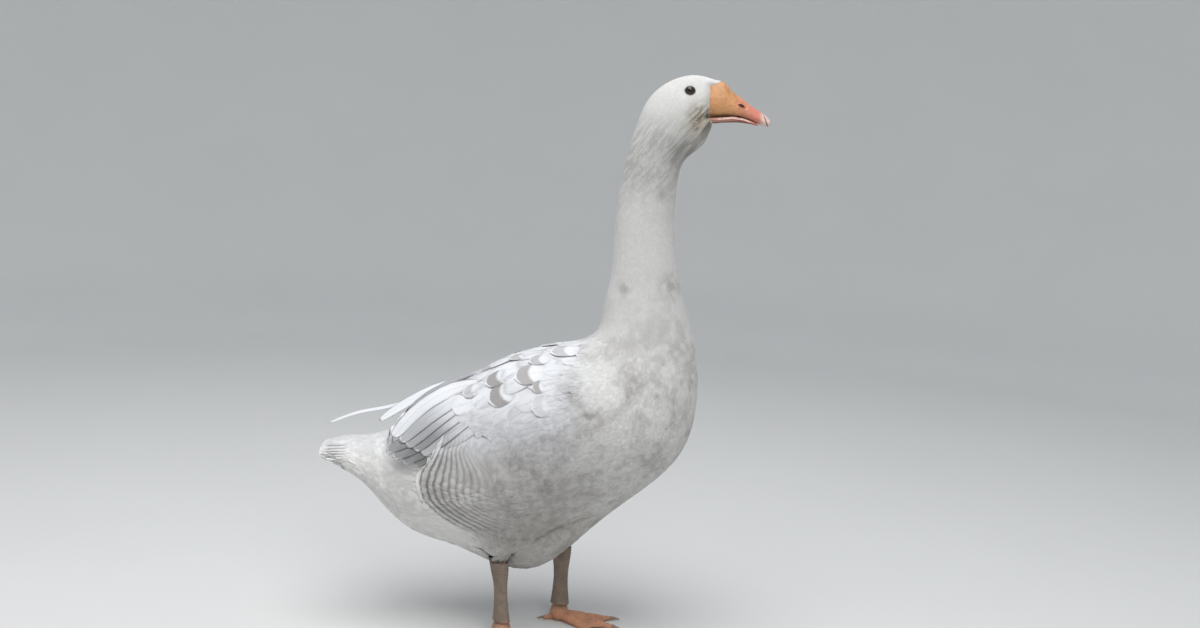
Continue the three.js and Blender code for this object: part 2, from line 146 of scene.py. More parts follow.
def noise(points, size, seed=0):
    """Smooth noise from 0 to 1 whose lumps are about size across."""
    scaled = points / size + 1000.0
    cell = np.floor(scaled).astype(np.int64)
    part = scaled - cell
    part = part * part * (3 - 2 * part)
    total = 0.0
    for corner in np.ndindex(2, 2, 2):
        offset = np.array(corner)
        weight = np.prod(np.where(offset == 1, part, 1 - part), axis=-1)
        total = total + weight * hashed(cell + offset, seed)
    return total


# ---- Reading the solids ----


def tree_of(*names):
    """A search tree over the faces of the named solids."""
    points, faces = [], []
    for name in names:
        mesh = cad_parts[name].data
        start = len(points)
        points.extend(tuple(v.co) for v in mesh.vertices)
        faces.extend([start + i for i in polygon.vertices] for polygon in mesh.polygons)
    return BVHTree.FromPolygons(points, faces)


def reach(tree, centres, ways, far):
    """How far the solids reach from each centre along its way, or NaN where they don't."""
    found = np.full(len(centres), np.nan)
    for i, (centre, way) in enumerate(zip(centres, ways)):
        hit = tree.ray_cast(Vector(centre + way * far), Vector(-way), far)
        if hit[0] is not None:
            found[i] = far - hit[3]
    return found


def section_ways(at, angle):
    """The centre of a body section, and the way out of it at an angle from its top."""
    x, z, lean = np.moveaxis(curve(SECTIONS, at), -1, 0)
    lean = np.radians(lean)
    flat = np.zeros_like(x)
    centre = np.stack([x, flat, z], -1)
    up = np.stack([-np.sin(lean), flat, np.cos(lean)], -1)
    left = np.array([0.0, 1.0, 0.0])
    return centre, up * np.cos(angle)[..., None] + left * np.sin(angle)[..., None]


class Form:
    """A smooth surface on a grid of points, whose rows follow each other and go round."""

    def __init__(self, points):
        self.points = points
        self.along = np.gradient(points, axis=0)
        self.across = (np.roll(points, -1, 1) - np.roll(points, 1, 1)) / 2
        self.normals = unit(np.cross(self.across, self.along))

    def read(self, grid, rows, columns):
        """The grid's values between its points."""
        height, width = grid.shape[:2]
        rows = np.clip(rows, 0, height - 1.0001)
        columns = columns % width
        i, j = rows.astype(int), columns.astype(int)
        a, b = (rows - i), (columns - j)
        if grid.ndim == 3:
            a, b = a[..., None], b[..., None]
        j = j % width
        beside = (j + 1) % width
        near = grid[i, j] * (1 - b) + grid[i, beside] * b
        far = grid[i + 1, j] * (1 - b) + grid[i + 1, beside] * b
        return near * (1 - a) + far * a

    def place(self, rows, columns):
        """Points of the surface, which runs on straight past its first and last rows."""
        kept = np.clip(rows, 0, len(self.points) - 1.0001)
        beyond = (rows - kept)[..., None]
        return self.read(self.points, rows, columns) + self.read(self.along, rows, columns) * beyond

    def steps(self, rows, columns, ways):
        """How rows and columns change for each metre along the given ways."""
        a = self.read(self.along, rows, columns)
        b = self.read(self.across, rows, columns)
        aa, ab, bb = (a * a).sum(-1), (a * b).sum(-1), (b * b).sum(-1)
        wa, wb = (ways * a).sum(-1), (ways * b).sum(-1)
        spread = np.maximum(aa * bb - ab * ab, 1e-18)
        return (bb * wa - ab * wb) / spread, (aa * wb - ab * wa) / spread


grid_at, grid_angle = np.meshgrid(
    np.linspace(0, LAST_SECTION, BODY_ROWS),
    np.arange(BODY_COLUMNS) * 2 * math.pi / BODY_COLUMNS,
    indexing="ij",
)
grid_centres, grid_ways = section_ways(grid_at, grid_angle)


def body_radii(*names):
    """How far the named solids reach from the middle of the body, over the grid."""
    found = reach(tree_of(*names), grid_centres.reshape(-1, 3), grid_ways.reshape(-1, 3), 0.3)
    return found.reshape(grid_at.shape)


def radial_form(radii):
    return Form(grid_centres + grid_ways * radii[..., None])


def filled(grid):
    """The grid with each missing value filled in from the rows before and after it."""
    for column in grid.T:
        known = np.flatnonzero(~np.isnan(column))
        column[:] = np.interp(np.arange(len(column)), known, column[known])
    return grid


def at_of(rows):
    return rows * LAST_SECTION / (BODY_ROWS - 1)


def grid_triangles(height, width, wraps=False):
    """Triangles over a grid of points numbered row by row."""
    columns = np.arange(width if wraps else width - 1)
    i, j = np.meshgrid(np.arange(height - 1), columns, indexing="ij")
    beside = (j + 1) % width
    a, b = i * width + j, i * width + beside
    c, d = a + width, b + width
    pairs = np.stack([np.stack([a, b, d], -1), np.stack([a, d, c], -1)], -2)
    return pairs.reshape(-1, 3)


BILL_ROOT = 0.2140  # x of the end of the bill's skin, hidden in the head
BILL_ROWS = 170
BILL_ROOT_ROWS = 12
BILL_COLUMNS = 144
BILL_SMOOTHING = 2.5
OVER_BILL = 0.9
UNDER_BILL = 0.6


def bill_form(names, flare, flares):
    """A smooth closed form round the solids of half a bill, in sections across it."""
    tree = tree_of(*names)
    first_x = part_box(names[0])[0][0] + flare
    last_x = max(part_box(name)[1][0] for name in names)
    share = np.linspace(0, 1, BILL_ROWS)
    x = first_x + (last_x - 0.05 * MM - first_x) * np.sin(share * math.pi / 2)
    centre_z = []
    for place in x:
        above = tree.ray_cast(Vector((place, 0.5 * MM, OVER_BILL)), Vector((0, 0, -1)))[0]
        below = tree.ray_cast(Vector((place, 0.5 * MM, UNDER_BILL)), Vector((0, 0, 1)))[0]
        centre_z.append((below.z + above.z) / 2 if above else np.nan)
    centre_z = filled(np.array(centre_z)[:, None])[:, 0]
    angle = np.arange(BILL_COLUMNS) * 2 * math.pi / BILL_COLUMNS
    ways = np.stack([np.zeros(BILL_COLUMNS), np.sin(angle), np.cos(angle)], -1)
    centres = np.stack([x, np.zeros(BILL_ROWS), centre_z], -1)
    all_centres = np.repeat(centres, BILL_COLUMNS, axis=0)
    all_ways = np.tile(ways, (BILL_ROWS, 1))
    radii = filled(reach(tree, all_centres, all_ways, 0.06).reshape(BILL_ROWS, BILL_COLUMNS))
    radii = blurred(blurred(radii, BILL_SMOOTHING, 1), BILL_SMOOTHING, 0)
    points = centres[:, None] + ways[None] * radii[..., None]
    slope = (points[8] - points[0]) / (x[8] - x[0]) * flares
    back = np.linspace(BILL_ROOT - first_x, 0, BILL_ROOT_ROWS, endpoint=False)[:, None, None]
    root = points[:1] + slope[None] * np.maximum(back, -8 * MM) * [0, 1, 1] + back * [1, 0, 0]
    return Form(np.concatenate([root, points]))


# The roots of both, where the solids are cut to fit the face, aren't read.
BILL = {
    "upper": bill_form(("bill_upper", "bill_nail"), 2.5 * MM, 1.0),
    "lower": bill_form(("bill_lower",), 6.0 * MM, 0.0),
}


def bill_tree():
    points, triangles = [], []
    for form in BILL.values():
        height, width = form.points.shape[:2]
        start = sum(len(part) for part in points)
        points.append(form.points.reshape(-1, 3))
        triangles.append(grid_triangles(height, width, wraps=True) + start)
    return BVHTree.FromPolygons(np.concatenate(points).tolist(), np.concatenate(triangles).tolist())


SEATED = 0.35  # how far along SECTIONS the front edge is drawn on to the bill
HEAD_ROW = 60


def fitted_to_bill(form, gap):
    """The body form with its front edge on the feather line and drawn down on to the bill.

    The line is upright at the sides and runs forward over the root of the bill at the top."""
    tree = bill_tree()
    points = form.points.copy()
    head = Vector(points[HEAD_ROW].mean(0))
    at = at_of(np.arange(BODY_ROWS))
    near = np.clip(1 - at, 0, 1)[:, None] ** 2
    z = points[..., 2]
    top = ease(z, 0.783, 0.7925)
    forward = -6.0 + 4.5 * ease(z, 0.742, 0.732) + 14.5 * top
    points[..., 0] += forward * near * MM
    points[..., 2] -= 2.6 * MM * top * near
    for row in np.flatnonzero(at < SEATED):
        pull = (1 - at[row] / SEATED) ** 1.5
        for column in range(BODY_COLUMNS):
            place, normal, _, _ = tree.find_nearest(Vector(points[row, column]))
            outside = np.sign(normal.dot(place - head))
            seat = np.array(place) + np.array(normal) * gap * outside
            points[row, column] += (seat - points[row, column]) * pull
    even = evened_out(points, 2.0, 2.0)
    share = ease(np.arange(BODY_ROWS), 1, 4) * ease(np.arange(BODY_ROWS), 40, 25)
    return Form(points + (even - points) * share[:, None, None])


bare_radii = evened_out(filled(body_radii(*BODY_NODES)), SMOOTHING, SMOOTHING)
body = fitted_to_bill(radial_form(bare_radii), 0.3 * MM)
wing_radii = body_radii("wing_right")
wing_radii = np.fmax(wing_radii, wing_radii[:, -np.arange(BODY_COLUMNS) % BODY_COLUMNS])
wing_height = np.fmax(wing_radii - bare_radii, 0)
wing_height = np.where(np.isnan(wing_height), 0, wing_height)
over_wing = blurred((wing_height > 1.5 * MM).astype(float), 1.5, 0)
# The front of the wing is blended into the shoulder.
soft_height = np.minimum(evened_out(wing_height, 6.0, 5.0), wing_height + 4 * MM)
soft_share = ease(body.points[..., 0], -0.10, -0.06)
dressed_radii = bare_radii + wing_height * (1 - soft_share) + soft_height * soft_share
dressed_radii = np.fmax(dressed_radii, body_radii("thigh_right", "thigh_left"))
dressed = fitted_to_bill(radial_form(evened_out(dressed_radii, 2.0, 2.0)), 0.7 * MM)


def angle_of(columns):
    """The angle round the body from its top, from 0 to 180 degrees on both sides."""
    turn = (columns % BODY_COLUMNS) * 360 / BODY_COLUMNS
    return np.minimum(turn, 360 - turn)


def side_of(columns):
    """1 on the left side and -1 on the right."""
    return np.where(columns % BODY_COLUMNS < BODY_COLUMNS / 2, 1.0, -1.0)


# ---- Meshes ----


def new_piece(name, points, triangles, material=None, slot=None):
    """A smooth-shaded mesh object from arrays, riding on the body."""
    mesh = bpy.data.meshes.new(name)
    mesh.vertices.add(len(points))
    mesh.vertices.foreach_set("co", np.asarray(points, np.float32).ravel())
    mesh.loops.add(triangles.size)
    mesh.loops.foreach_set("vertex_index", triangles.ravel().astype(np.int32))
    mesh.polygons.add(len(triangles))
    mesh.polygons.foreach_set("loop_start", np.arange(0, triangles.size, 3, dtype=np.int32))
    mesh.polygons.foreach_set("use_smooth", np.ones(len(triangles), bool))
    mesh.update()
    mesh.validate()
    piece = bpy.data.objects.new(name, mesh)
    bpy.context.scene.collection.objects.link(piece)
    if material:
        mesh.materials.append(material)
    if slot:
        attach(piece, "root")
    return piece


KINDS = {1: ("FLOAT", "value"), 3: ("FLOAT_VECTOR", "vector"), 4: ("FLOAT_COLOR", "color")}


def set_attribute(piece, name, values):
    """Stores a number, a vector or a colour for each point."""
    mesh = piece.data
    values = np.asarray(values, np.float32).reshape(len(mesh.vertices), -1)
    kind, field = KINDS[values.shape[1]]
    mesh.attributes.new(name, kind, "POINT").data.foreach_set(field, values.ravel())


def tube_mesh(points):
    """Points and triangles of a closed tube from a grid of rings, with a fan at each end."""
    height, width = points.shape[:2]
    triangles = grid_triangles(height, width, wraps=True)
    ends = np.stack([points[0].mean(0), points[-1].mean(0)])
    first, last = height * width, height * width + 1
    here = np.arange(width)
    beside = (here + 1) % width
    cap = np.stack([np.full(width, first), beside, here], -1)
    foot = np.stack([np.full(width, last), here + first - width, beside + first - width], -1)
    return np.concatenate([points.reshape(-1, 3), ends]), np.concatenate([triangles, cap, foot])


def outward(points, triangles):
    """The triangles, turned round if the closed mesh is inside out."""
    a, b, c = (points[triangles[:, k]] for k in range(3))
    volume = (a * np.cross(b, c)).sum() / 6
    return triangles if volume > 0 else triangles[:, ::-1]


def point_tree(points):
    tree = KDTree(len(points))
    for index, point in enumerate(points):
        tree.insert(point, index)
    tree.balance()
    return tree


# ---- Vanes ----


def feather_template(stations, across, width_at, notch=0.0):
    """A thin closed vane: a grid of points on top and one row of points below its middle.

    Its points are (along, across, up), where across runs from -1 to 1 at the widest place, and
    notch shortens the outer barbs at the tip by a share of the length."""
    top = []
    for f in stations:
        for x in across:
            back = notch * abs(x) ** 1.5 * f**3
            top.append((f - back, x * width_at(f), 1 - 0.5 * x * x))
    below = [(f * 0.98, 0.0, 0.0) for f in stations]
    width = len(across)
    edge = width - 1
    triangles = [tuple(t) for t in grid_triangles(len(stations), width)]
    start = len(top)
    for k in range(len(stations) - 1):
        under = start + k
        left, right = k * width, k * width + edge
        triangles += [(left, left + width, under + 1), (left, under + 1, under)]
        triangles += [(right, under + 1, right + width), (right, under, under + 1)]
    tip = (len(stations) - 1) * width
    for j in range(edge):
        triangles.append((start, j + 1, j))
        triangles.append((start + len(stations) - 1, tip + j, tip + j + 1))
    points = np.array(top + below, float)
    triangles = outward(points, np.array(triangles))
    return points, triangles, points[triangles, 2].min(1) > 0


def lock_template(locks):
    """A tuft of pointed locks, each a thin closed spike from root to tip.

    A lock is its side shift at the root, middle and tip, its length and its half width."""
    points, triangles = [], []
    for root, middle, tip, length, half in locks:
        start = len(points)
        points += [
            (0.0, root, 0.5),
            (0.5, middle - half, 0.2),
            (0.5, middle + half, 0.2),
            (0.5, middle, 1.0),
            (length, tip, 0.3),
        ]
        faces = ((0, 1, 3), (0, 3, 2), (3, 1, 4), (2, 3, 4), (0, 2, 1), (1, 2, 4))
        triangles += [tuple(start + k for k in face) for face in faces]
    points = np.array(points, float)
    triangles = outward(points, np.array(triangles))
    return points, triangles, points[triangles, 2].max(1) == 1


def rounded_vane(widest, root=0.3, tip=0.1, power=2.4):
    """A width along a vane that is widest part way along and rounded at the tip."""

    def width_at(f):
        if f < widest:
            return root + (1 - root) * math.sin(f / widest * math.pi / 2)
        gone = (f - widest) / (1 - widest)
        return max((1 - gone**power) ** (1 / power), tip)

    return width_at


PATCH = 0.003  # width of one small tuft's patch on the map
TRIES = 6.0  # how many places are tried for each root
CLOSEST = 0.86  # how close two roots may stand, of the spacing there
TIP_LEAN = 0.12  # how far the shading of a vane leans towards its tip
SHAPE = {"bend": 0.0, "camber": 0.15, "rise": 0.8, "tilt": 0.2, "dip": 0.0, "relief": 0.0}


class Coat:
    """Vanes gathered until they are made into one piece."""

    def __init__(self, name, slot, patch=PATCH, soft=True):
        self.name = name
        self.slot = slot
        self.patch = patch
        self.soft = soft
        self.parts = []
        self.count = 0

    def add(self, template, frame_at, roots_uv, shape, marks=None, bars=0.0):
        """Adds one vane for each root.

        frame_at gives, for a share of the length, the places, normals and headings there. shape
        holds arrays or numbers: half (width), thick, low and high (the heights of root and tip
        over the surface), rise (how early the height is gained), camber, bend, tilt, dip (how
        far the tip is pressed down) and relief (how deep the furrows under it are)."""
        points, triangles, is_top = template
        count, size = len(roots_uv), len(points)
        along, across, up = points.T
        shape = {**SHAPE, **shape}
        lengths = ("half", "thick", "low", "high", "bend")
        half, thick, low, high, bend = (np.broadcast_to(shape[key], count) for key in lengths)
        furrowed = np.any(shape["relief"])
        made = np.zeros((count, size, 3), np.float32)
        normals = np.zeros((count, size, 3), np.float32)
        for f in np.unique(along):
            place, normal, heading = frame_at(f)
            beside = unit(np.cross(normal, heading))
            height = low + (high - low) * f ** shape["rise"] - shape["dip"] * f**6
            for k in np.flatnonzero(along == f):
                shift = across[k] * half + bend * f * f
                lift = height + up[k] * thick - shape["camber"] * half * across[k] ** 2
                made[:, k] = place + beside * shift[:, None] + normal * lift[:, None]
                if furrowed:
                    made[:, k] -= normal * (shape["relief"] * grooves(made[:, k]))[:, None]
                tilt = beside * shape["tilt"] * across[k]
                normals[:, k] = unit(normal + tilt + heading * TIP_LEAN)
        vane = np.empty((count, size, 3), np.float32)
        vane[..., 0] = across
        vane[..., 1] = along
        vane[..., 2] = rng.random(count)[:, None]
        marks = markings(made) if marks is None else np.repeat(marks[:, None], size, axis=1)
        row, row_share = bar_rows(made)
        wide = max(abs(across).max(), 1e-6)
        part = {
            "place": made,
            "normal": normals,
            "vane": vane,
            "mark": shaded(marks, made) if furrowed else marks,
            "bar": np.broadcast_to(bars, count)[:, None, None],
            "row": row[..., None],
            "row_share": row_share[..., None],
            "root": roots_uv[:, None],
            "patch": np.stack([across / wide, along * 2 - 1], -1) * self.patch / 2,
        }
        part = {key: np.broadcast_to(v, (count, size, v.shape[-1])) for key, v in part.items()}
        part["triangle"] = triangles + (np.arange(count) * size)[:, None, None] + self.count
        part["top"] = np.broadcast_to(is_top[:, None], (count, len(triangles), 1))
        self.parts.append({key: v.reshape(-1, v.shape[-1]) for key, v in part.items()})
        self.count += count * size

    def lay(self, template, rows, columns, ways, shape, marks=None, bars=0.0):
        """Adds vanes that follow the dressed form from their roots along the given ways."""
        more_rows, more_columns = dressed.steps(rows, columns, ways)
        length = np.broadcast_to(shape["length"], len(rows))

        def frame_at(f):
            at = (rows + more_rows * length * f, columns + more_columns * length * f)
            a, b = dressed.read(dressed.along, *at), dressed.read(dressed.across, *at)
            heading = unit(a * more_rows[:, None] + b * more_columns[:, None])
            return dressed.place(*at), dressed.read(dressed.normals, *at), heading

        uv = np.stack([columns / BODY_COLUMNS % 1, rows / BODY_ROWS], -1)
        self.add(template, frame_at, uv, shape, marks, bars)

    def make(self, material):
        """The piece, with the places of its vanes' roots on the unwrapped form as its map."""
        whole = {key: np.concatenate([part[key] for part in self.parts]) for key in self.parts[0]}
        triangles = whole["triangle"]
        piece = new_piece(self.name, whole["place"], triangles, material, self.slot)
        for name in ("vane", "mark", "bar", "row", "row_share"):
            set_attribute(piece, name, whole[name])
        low, high = whole["root"].min(0), whole["root"].max(0)
        share = (whole["root"] - low) / np.maximum(high - low, 1e-6)
        placed = self.patch + (1 - 2 * self.patch) * share + whole["patch"]
        mesh = piece.data
        corners = np.empty(len(mesh.loops), np.int32)
        mesh.loops.foreach_get("vertex_index", corners)
        layer = mesh.uv_layers.new(name="OFBake")
        layer.data.foreach_set("uv", placed[corners].astype(np.float32).ravel())
        if self.soft:  # only the upper faces take the coat's own normals; zero leaves the rest
            given = whole["normal"][triangles] * whole["top"][:, :, None]
            mesh.normals_split_custom_set(given.reshape(-1, 3))


def scattered(spacing, wanted, seed, first=None):
    """Roots spread evenly over the dressed form, at a spacing that changes from place to place.

    spacing and wanted give, for rows and columns, the distance and the share to keep. The rows
    and columns of roots that are there already can be given as first."""
    draw = np.random.default_rng(seed)
    i, j = np.meshgrid(np.arange(BODY_ROWS - 1) + 0.5, np.arange(BODY_COLUMNS) + 0.5, indexing="ij")
    a, b = dressed.read(dressed.along, i, j), dressed.read(dressed.across, i, j)
    area = np.linalg.norm(np.cross(a, b), axis=-1)
    weight = area / spacing(i, j) ** 2 * (wanted(i, j) > 0)
    count = int(weight.sum() * TRIES)
    chosen = np.searchsorted(np.cumsum(weight.ravel()), draw.random(count) * weight.sum())
    chosen = np.minimum(chosen, weight.size - 1)
    rows = i.ravel()[chosen] + draw.random(count) - 0.5
    columns = j.ravel()[chosen] + draw.random(count) - 0.5
    kept = draw.random(count) < wanted(rows, columns)
    rows, columns = rows[kept], columns[kept]
    fixed = 0
    if first is not None:
        fixed = len(first[0])
        rows, columns = np.concatenate([first[0], rows]), np.concatenate([first[1], columns])
    points = dressed.place(rows, columns)
    gaps = spacing(rows, columns) * CLOSEST
    tree = point_tree(points)
    free = np.ones(len(points), bool)
    accepted = []
    for index in range(len(points)):
        if free[index]:
            accepted.append(index)
            for _, other, _ in tree.find_range(Vector(points[index]), gaps[index]):
                free[other] = False
    accepted = [index for index in accepted if index >= fixed]
    return rows[accepted], columns[accepted]


# ---- Markings ----

# Places on the side of the body, as (x, z) in metres.
FLANK_BORDER = (  # the rear edge of the flank feathers, from the wing down to the thigh
    (-0.122, 0.285),
    (-0.133, 0.262),
    (-0.146, 0.242),
    (-0.149, 0.225),
    (-0.143, 0.204),
    (-0.124, 0.185),
    (-0.100, 0.168),
    (-0.064, 0.150),
)
WING_LOWER = (  # the line along which the wing goes under the flank feathers
    (-0.135, 0.268),
    (-0.109, 0.292),
    (-0.072, 0.303),
    (-0.020, 0.312),
    (0.033, 0.326),
    (0.055, 0.350),
    (0.070, 0.380),
    (0.072, 0.420),
)


def border_x(z):
    """Where the flank's rear edge is at a height."""
    line = np.array(FLANK_BORDER)[::-1]
    return np.interp(z, line[:, 1], line[:, 0])


def over_wing_line(x, z):
    """How far a place lies above the wing's lower line."""
    line = np.array(WING_LOWER)
    return np.where(x < line[-1, 0], z - np.interp(x, line[:, 0], line[:, 1]), -0.05)


# Round marks in the side view: the middle's x and z, and the half sizes along them.
CHEEK = (0.2095, 0.733, 0.0160, 0.0200)  # the stained patch behind the gape
# Painted shade under the chin and in the corner of the mouth.
THROAT_SHADE = (0.192, 0.690, 0.024, 0.022)
GAPE_SHADE = (0.2185, 0.7400, 0.0050, 0.0028)
NAPE_SPOT = (0.159, 0.635, 0.008, 0.010)
BACK_SPOT = (0.113, 0.504, 0.008, 0.009)  # at the back of the neck's foot
FRONT_SPOT = (0.178, 0.510, 0.020, 0.018)
CLEAN_NECK = (0.112, 0.474, 0.020, 0.022)
CLEAN_SHOULDER = (0.097, 0.385, 0.028, 0.024)
SHOULDER_ARC = {"x": 0.093, "z": 0.377, "radius": 0.043, "thick": 0.010}
# The line of the crease over each thigh, along which shade is painted.
BELLY_CREASE_X = (0.007, 0.016, 0.037, 0.063, 0.088)
BELLY_CREASE_Z = (0.139, 0.150, 0.164, 0.174, 0.184)
FLANK_STEP = 10.3 * MM  # from one bar of the flank to the next
# Between the painted shadows in the slits of the tail.
TAIL_SLIT_STEP = 3.4 * MM


def blob(points, x, z, wide, tall):
    return np.exp(-(((points[..., 0] - x) / wide) ** 2) - ((points[..., 2] - z) / tall) ** 2)


def closer(z):
    """How much closer the bars of the flank stand near its top."""
    return 1 - 0.5 * ease(z, 0.235, 0.28)


def bar_rows(points):
    """How many bars in front of the flank's rear edge a place is, and how strong they are.

    Painted shadow in the slits between the tail feathers is drawn in the same way."""
    x, y, z = np.moveaxis(np.asarray(points, float), -1, 0)
    squeeze = np.interp(z, (0.150, 0.168, 0.185, 0.205), (0.45, 0.55, 0.75, 1.0))
    row = (x - border_x(z)) * squeeze / (FLANK_STEP * closer(z))
    share = ease(row, -0.1, 0.05) * (1 - 0.09 * row).clip(0, 1) * ease(z, 0.150, 0.175)
    share *= ease(x, 0.0, -0.07) * (1 - 0.7 * ease(z, 0.262, 0.29))
    share *= ease(over_wing_line(x, z), 0.006, -0.002)
    slit = (z - 0.12 * x) / TAIL_SLIT_STEP
    # Painted shadow in the slits between the tail feathers.
    slit_shadow_share = 0.75 * ease(x, -0.291, -0.284) * ease(x, -0.252, -0.268) * ease(z, 0.240, 0.246)
    slit_shadow_share *= (z < 0.262) * ease(np.abs(y), 0.018, 0.028)
    on_tail = x < -0.24
    return np.where(on_tail, slit, row), np.where(on_tail, slit_shadow_share, share)


def grooves(points):
    """How deep a place is in one of the slanting furrows of the neck and cheeks, from 0 to 1."""
    x, y, z = np.moveaxis(np.asarray(points, float), -1, 0)
    slanted = np.stack([(x - 0.8 * z) * 7.0, 0.8 * x + z, 2 * y], -1)
    streaks = 0.7 * noise(slanted, 17 * MM, 5) + 0.3 * noise(slanted, 9 * MM, 6)
    neck = ease(z, 0.59, 0.67) * ease(z, 0.75, 0.705) * (0.16 + 0.34 * ease(streaks, 0.63, 0.40))
    cheek = 1.5 * blob(points, *CHEEK) * ease(streaks, 0.66, 0.44)
    return np.maximum(neck, cheek).clip(0, 1)


def shaded(marks, points):
    """The markings with painted shade added in the furrows."""
    shade_and_stain = np.clip(marks[..., 2] + 0.72 * grooves(points), 0, 1)
    return np.stack([marks[..., 0], marks[..., 1], shade_and_stain, marks[..., 3]], -1)


def taupe_mask(points, coarse, fine):
    """The grey-brown of neck, breast, shoulders and flanks; on the flanks it is partly painted shade."""
    x, y, z = np.moveaxis(np.asarray(points, float), -1, 0)
    mottle = 0.55 * coarse + 0.45 * fine
    # Light mottling over the lower neck and the breast.
    front = ease(z, 0.545, 0.42) * ease(x, 0.0, 0.07)
    taupe = front * (0.05 + 0.34 * ease(mottle, 0.40, 0.75))
    spots = 0.35 * blob(points, *BACK_SPOT) + 0.25 * blob(points, *FRONT_SPOT)
    taupe += spots * (0.4 + 1.2 * ease(fine, 0.3, 0.6))
    taupe *= 1 - 0.85 * blob(points, *CLEAN_NECK)
    # A darker arc round a paler patch at the shoulder.
    away = np.hypot(x - SHOULDER_ARC["x"], z - SHOULDER_ARC["z"])
    arc = bump(away - SHOULDER_ARC["radius"], SHOULDER_ARC["thick"]) * ease(z, 0.415, 0.38)
    taupe += 0.38 * arc * ease(np.abs(y), 0.02, 0.05) * (0.5 + 0.5 * fine)
    taupe *= 1 - 0.5 * blob(points, *CLEAN_SHOULDER)
    # The flank is mottled up to its rear edge; its taupe is partly its own grey-brown and partly painted
    # shade of the lower body.
    flank = ease(x, border_x(z) - 0.001, border_x(z) + 0.006) * ease(z, 0.12, 0.16)
    flank *= ease(x, 0.11, 0.02) * ease(over_wing_line(x, z), 0.002, -0.026)
    flank *= 1 - 0.6 * ease(z, 0.245, 0.29) * ease(x, -0.02, -0.06)
    taupe = np.maximum(taupe, flank * (0.32 + 0.26 * ease(mottle, 0.35, 0.8)))
    # Pale in the furrows of the upper neck.
    upper_neck = ease(z, 0.56, 0.62) * ease(z, 0.755, 0.70)
    taupe += 0.10 * upper_neck * ease(mottle, 0.4, 0.7)
    return taupe + 0.30 * blob(points, *NAPE_SPOT)


def shade_and_stain_mask(points, fine, cheek):
    """Painted shade of throat, gape, cheek and belly, most of all in the crease over each thigh; on the
    belly it stands partly for dirt too.
    """
    x, _, z = np.moveaxis(np.asarray(points, float), -1, 0)
    shade_and_stain = 0.38 * blob(points, *THROAT_SHADE) + cheek * (0.06 + 0.25 * ease(fine, 0.4, 0.8))
    shade_and_stain += 1.5 * blob(points, *GAPE_SHADE)
    # Lower on the body: painted shade, and dirt on the belly.
    under = ease(z, 0.40, 0.16) * ease(x, -0.10, -0.03)
    shade_and_stain += under * (0.30 + 0.16 * fine) + 0.10 * ease(z, 0.19, 0.12) * ease(x, -0.10, -0.03)
    # Painted shade along the crease over each thigh.
    crease = np.interp(x, BELLY_CREASE_X, BELLY_CREASE_Z)
    ends = ease(x, 0.002, 0.015) * ease(x, 0.10, 0.08)
    return shade_and_stain + 0.35 * ends * bump(z - crease, 2.6 * MM)


def markings(points):
    """The masks of taupe, cream, painted shade with some stain, and cool white at places on the body."""
    x, _, z = np.moveaxis(np.asarray(points, float), -1, 0)
    coarse, fine = noise(points, 24 * MM, 1), noise(points, 8 * MM, 2)
    cheek = blob(points, *CHEEK)
    cream = 0.9 * cheek * (0.45 + 0.55 * fine)
    # The back and wings are a cooler white.
    cool = ease(z, 0.24, 0.30) * ease(x, 0.09, 0.03)
    masks = (taupe_mask(points, coarse, fine), cream, shade_and_stain_mask(points, fine, cheek), cool)
    return np.stack(masks, -1).clip(0, 1)


# ---- Materials ----

WHITE = (0.86, 0.85, 0.825)
COOL_WHITE = (0.82, 0.83, 0.86)
TAUPE = (0.25, 0.225, 0.215)
CREAM = (0.56, 0.42, 0.23)
# Painted shade, and stains at the thigh tufts' ends and dirt on the belly.
SHADE_AND_STAIN = (0.12, 0.105, 0.085)
# The flank's dark bars, and the painted shadow in the tail's slits.
BAR = (0.13, 0.12, 0.115)
GREY_VANE = (0.125, 0.13, 0.14)
SHADOW_ROOT = (0.45, 0.42, 0.39)
SPECK = (0.50, 0.47, 0.43)
SHAFT = (0.50, 0.46, 0.42)
PALE_RIM = (0.86, 0.86, 0.85)

INPUTS = {
    "sheen": "Sheen Weight",
    "specular": "Specular IOR Level",
    "coat": "Coat Weight",
    "coat_roughness": "Coat Roughness",
    "subsurface": "Subsurface Weight",
    "subsurface_scale": "Subsurface Scale",
    "subsurface_radius": "Subsurface Radius",
    "ior": "IOR",
}


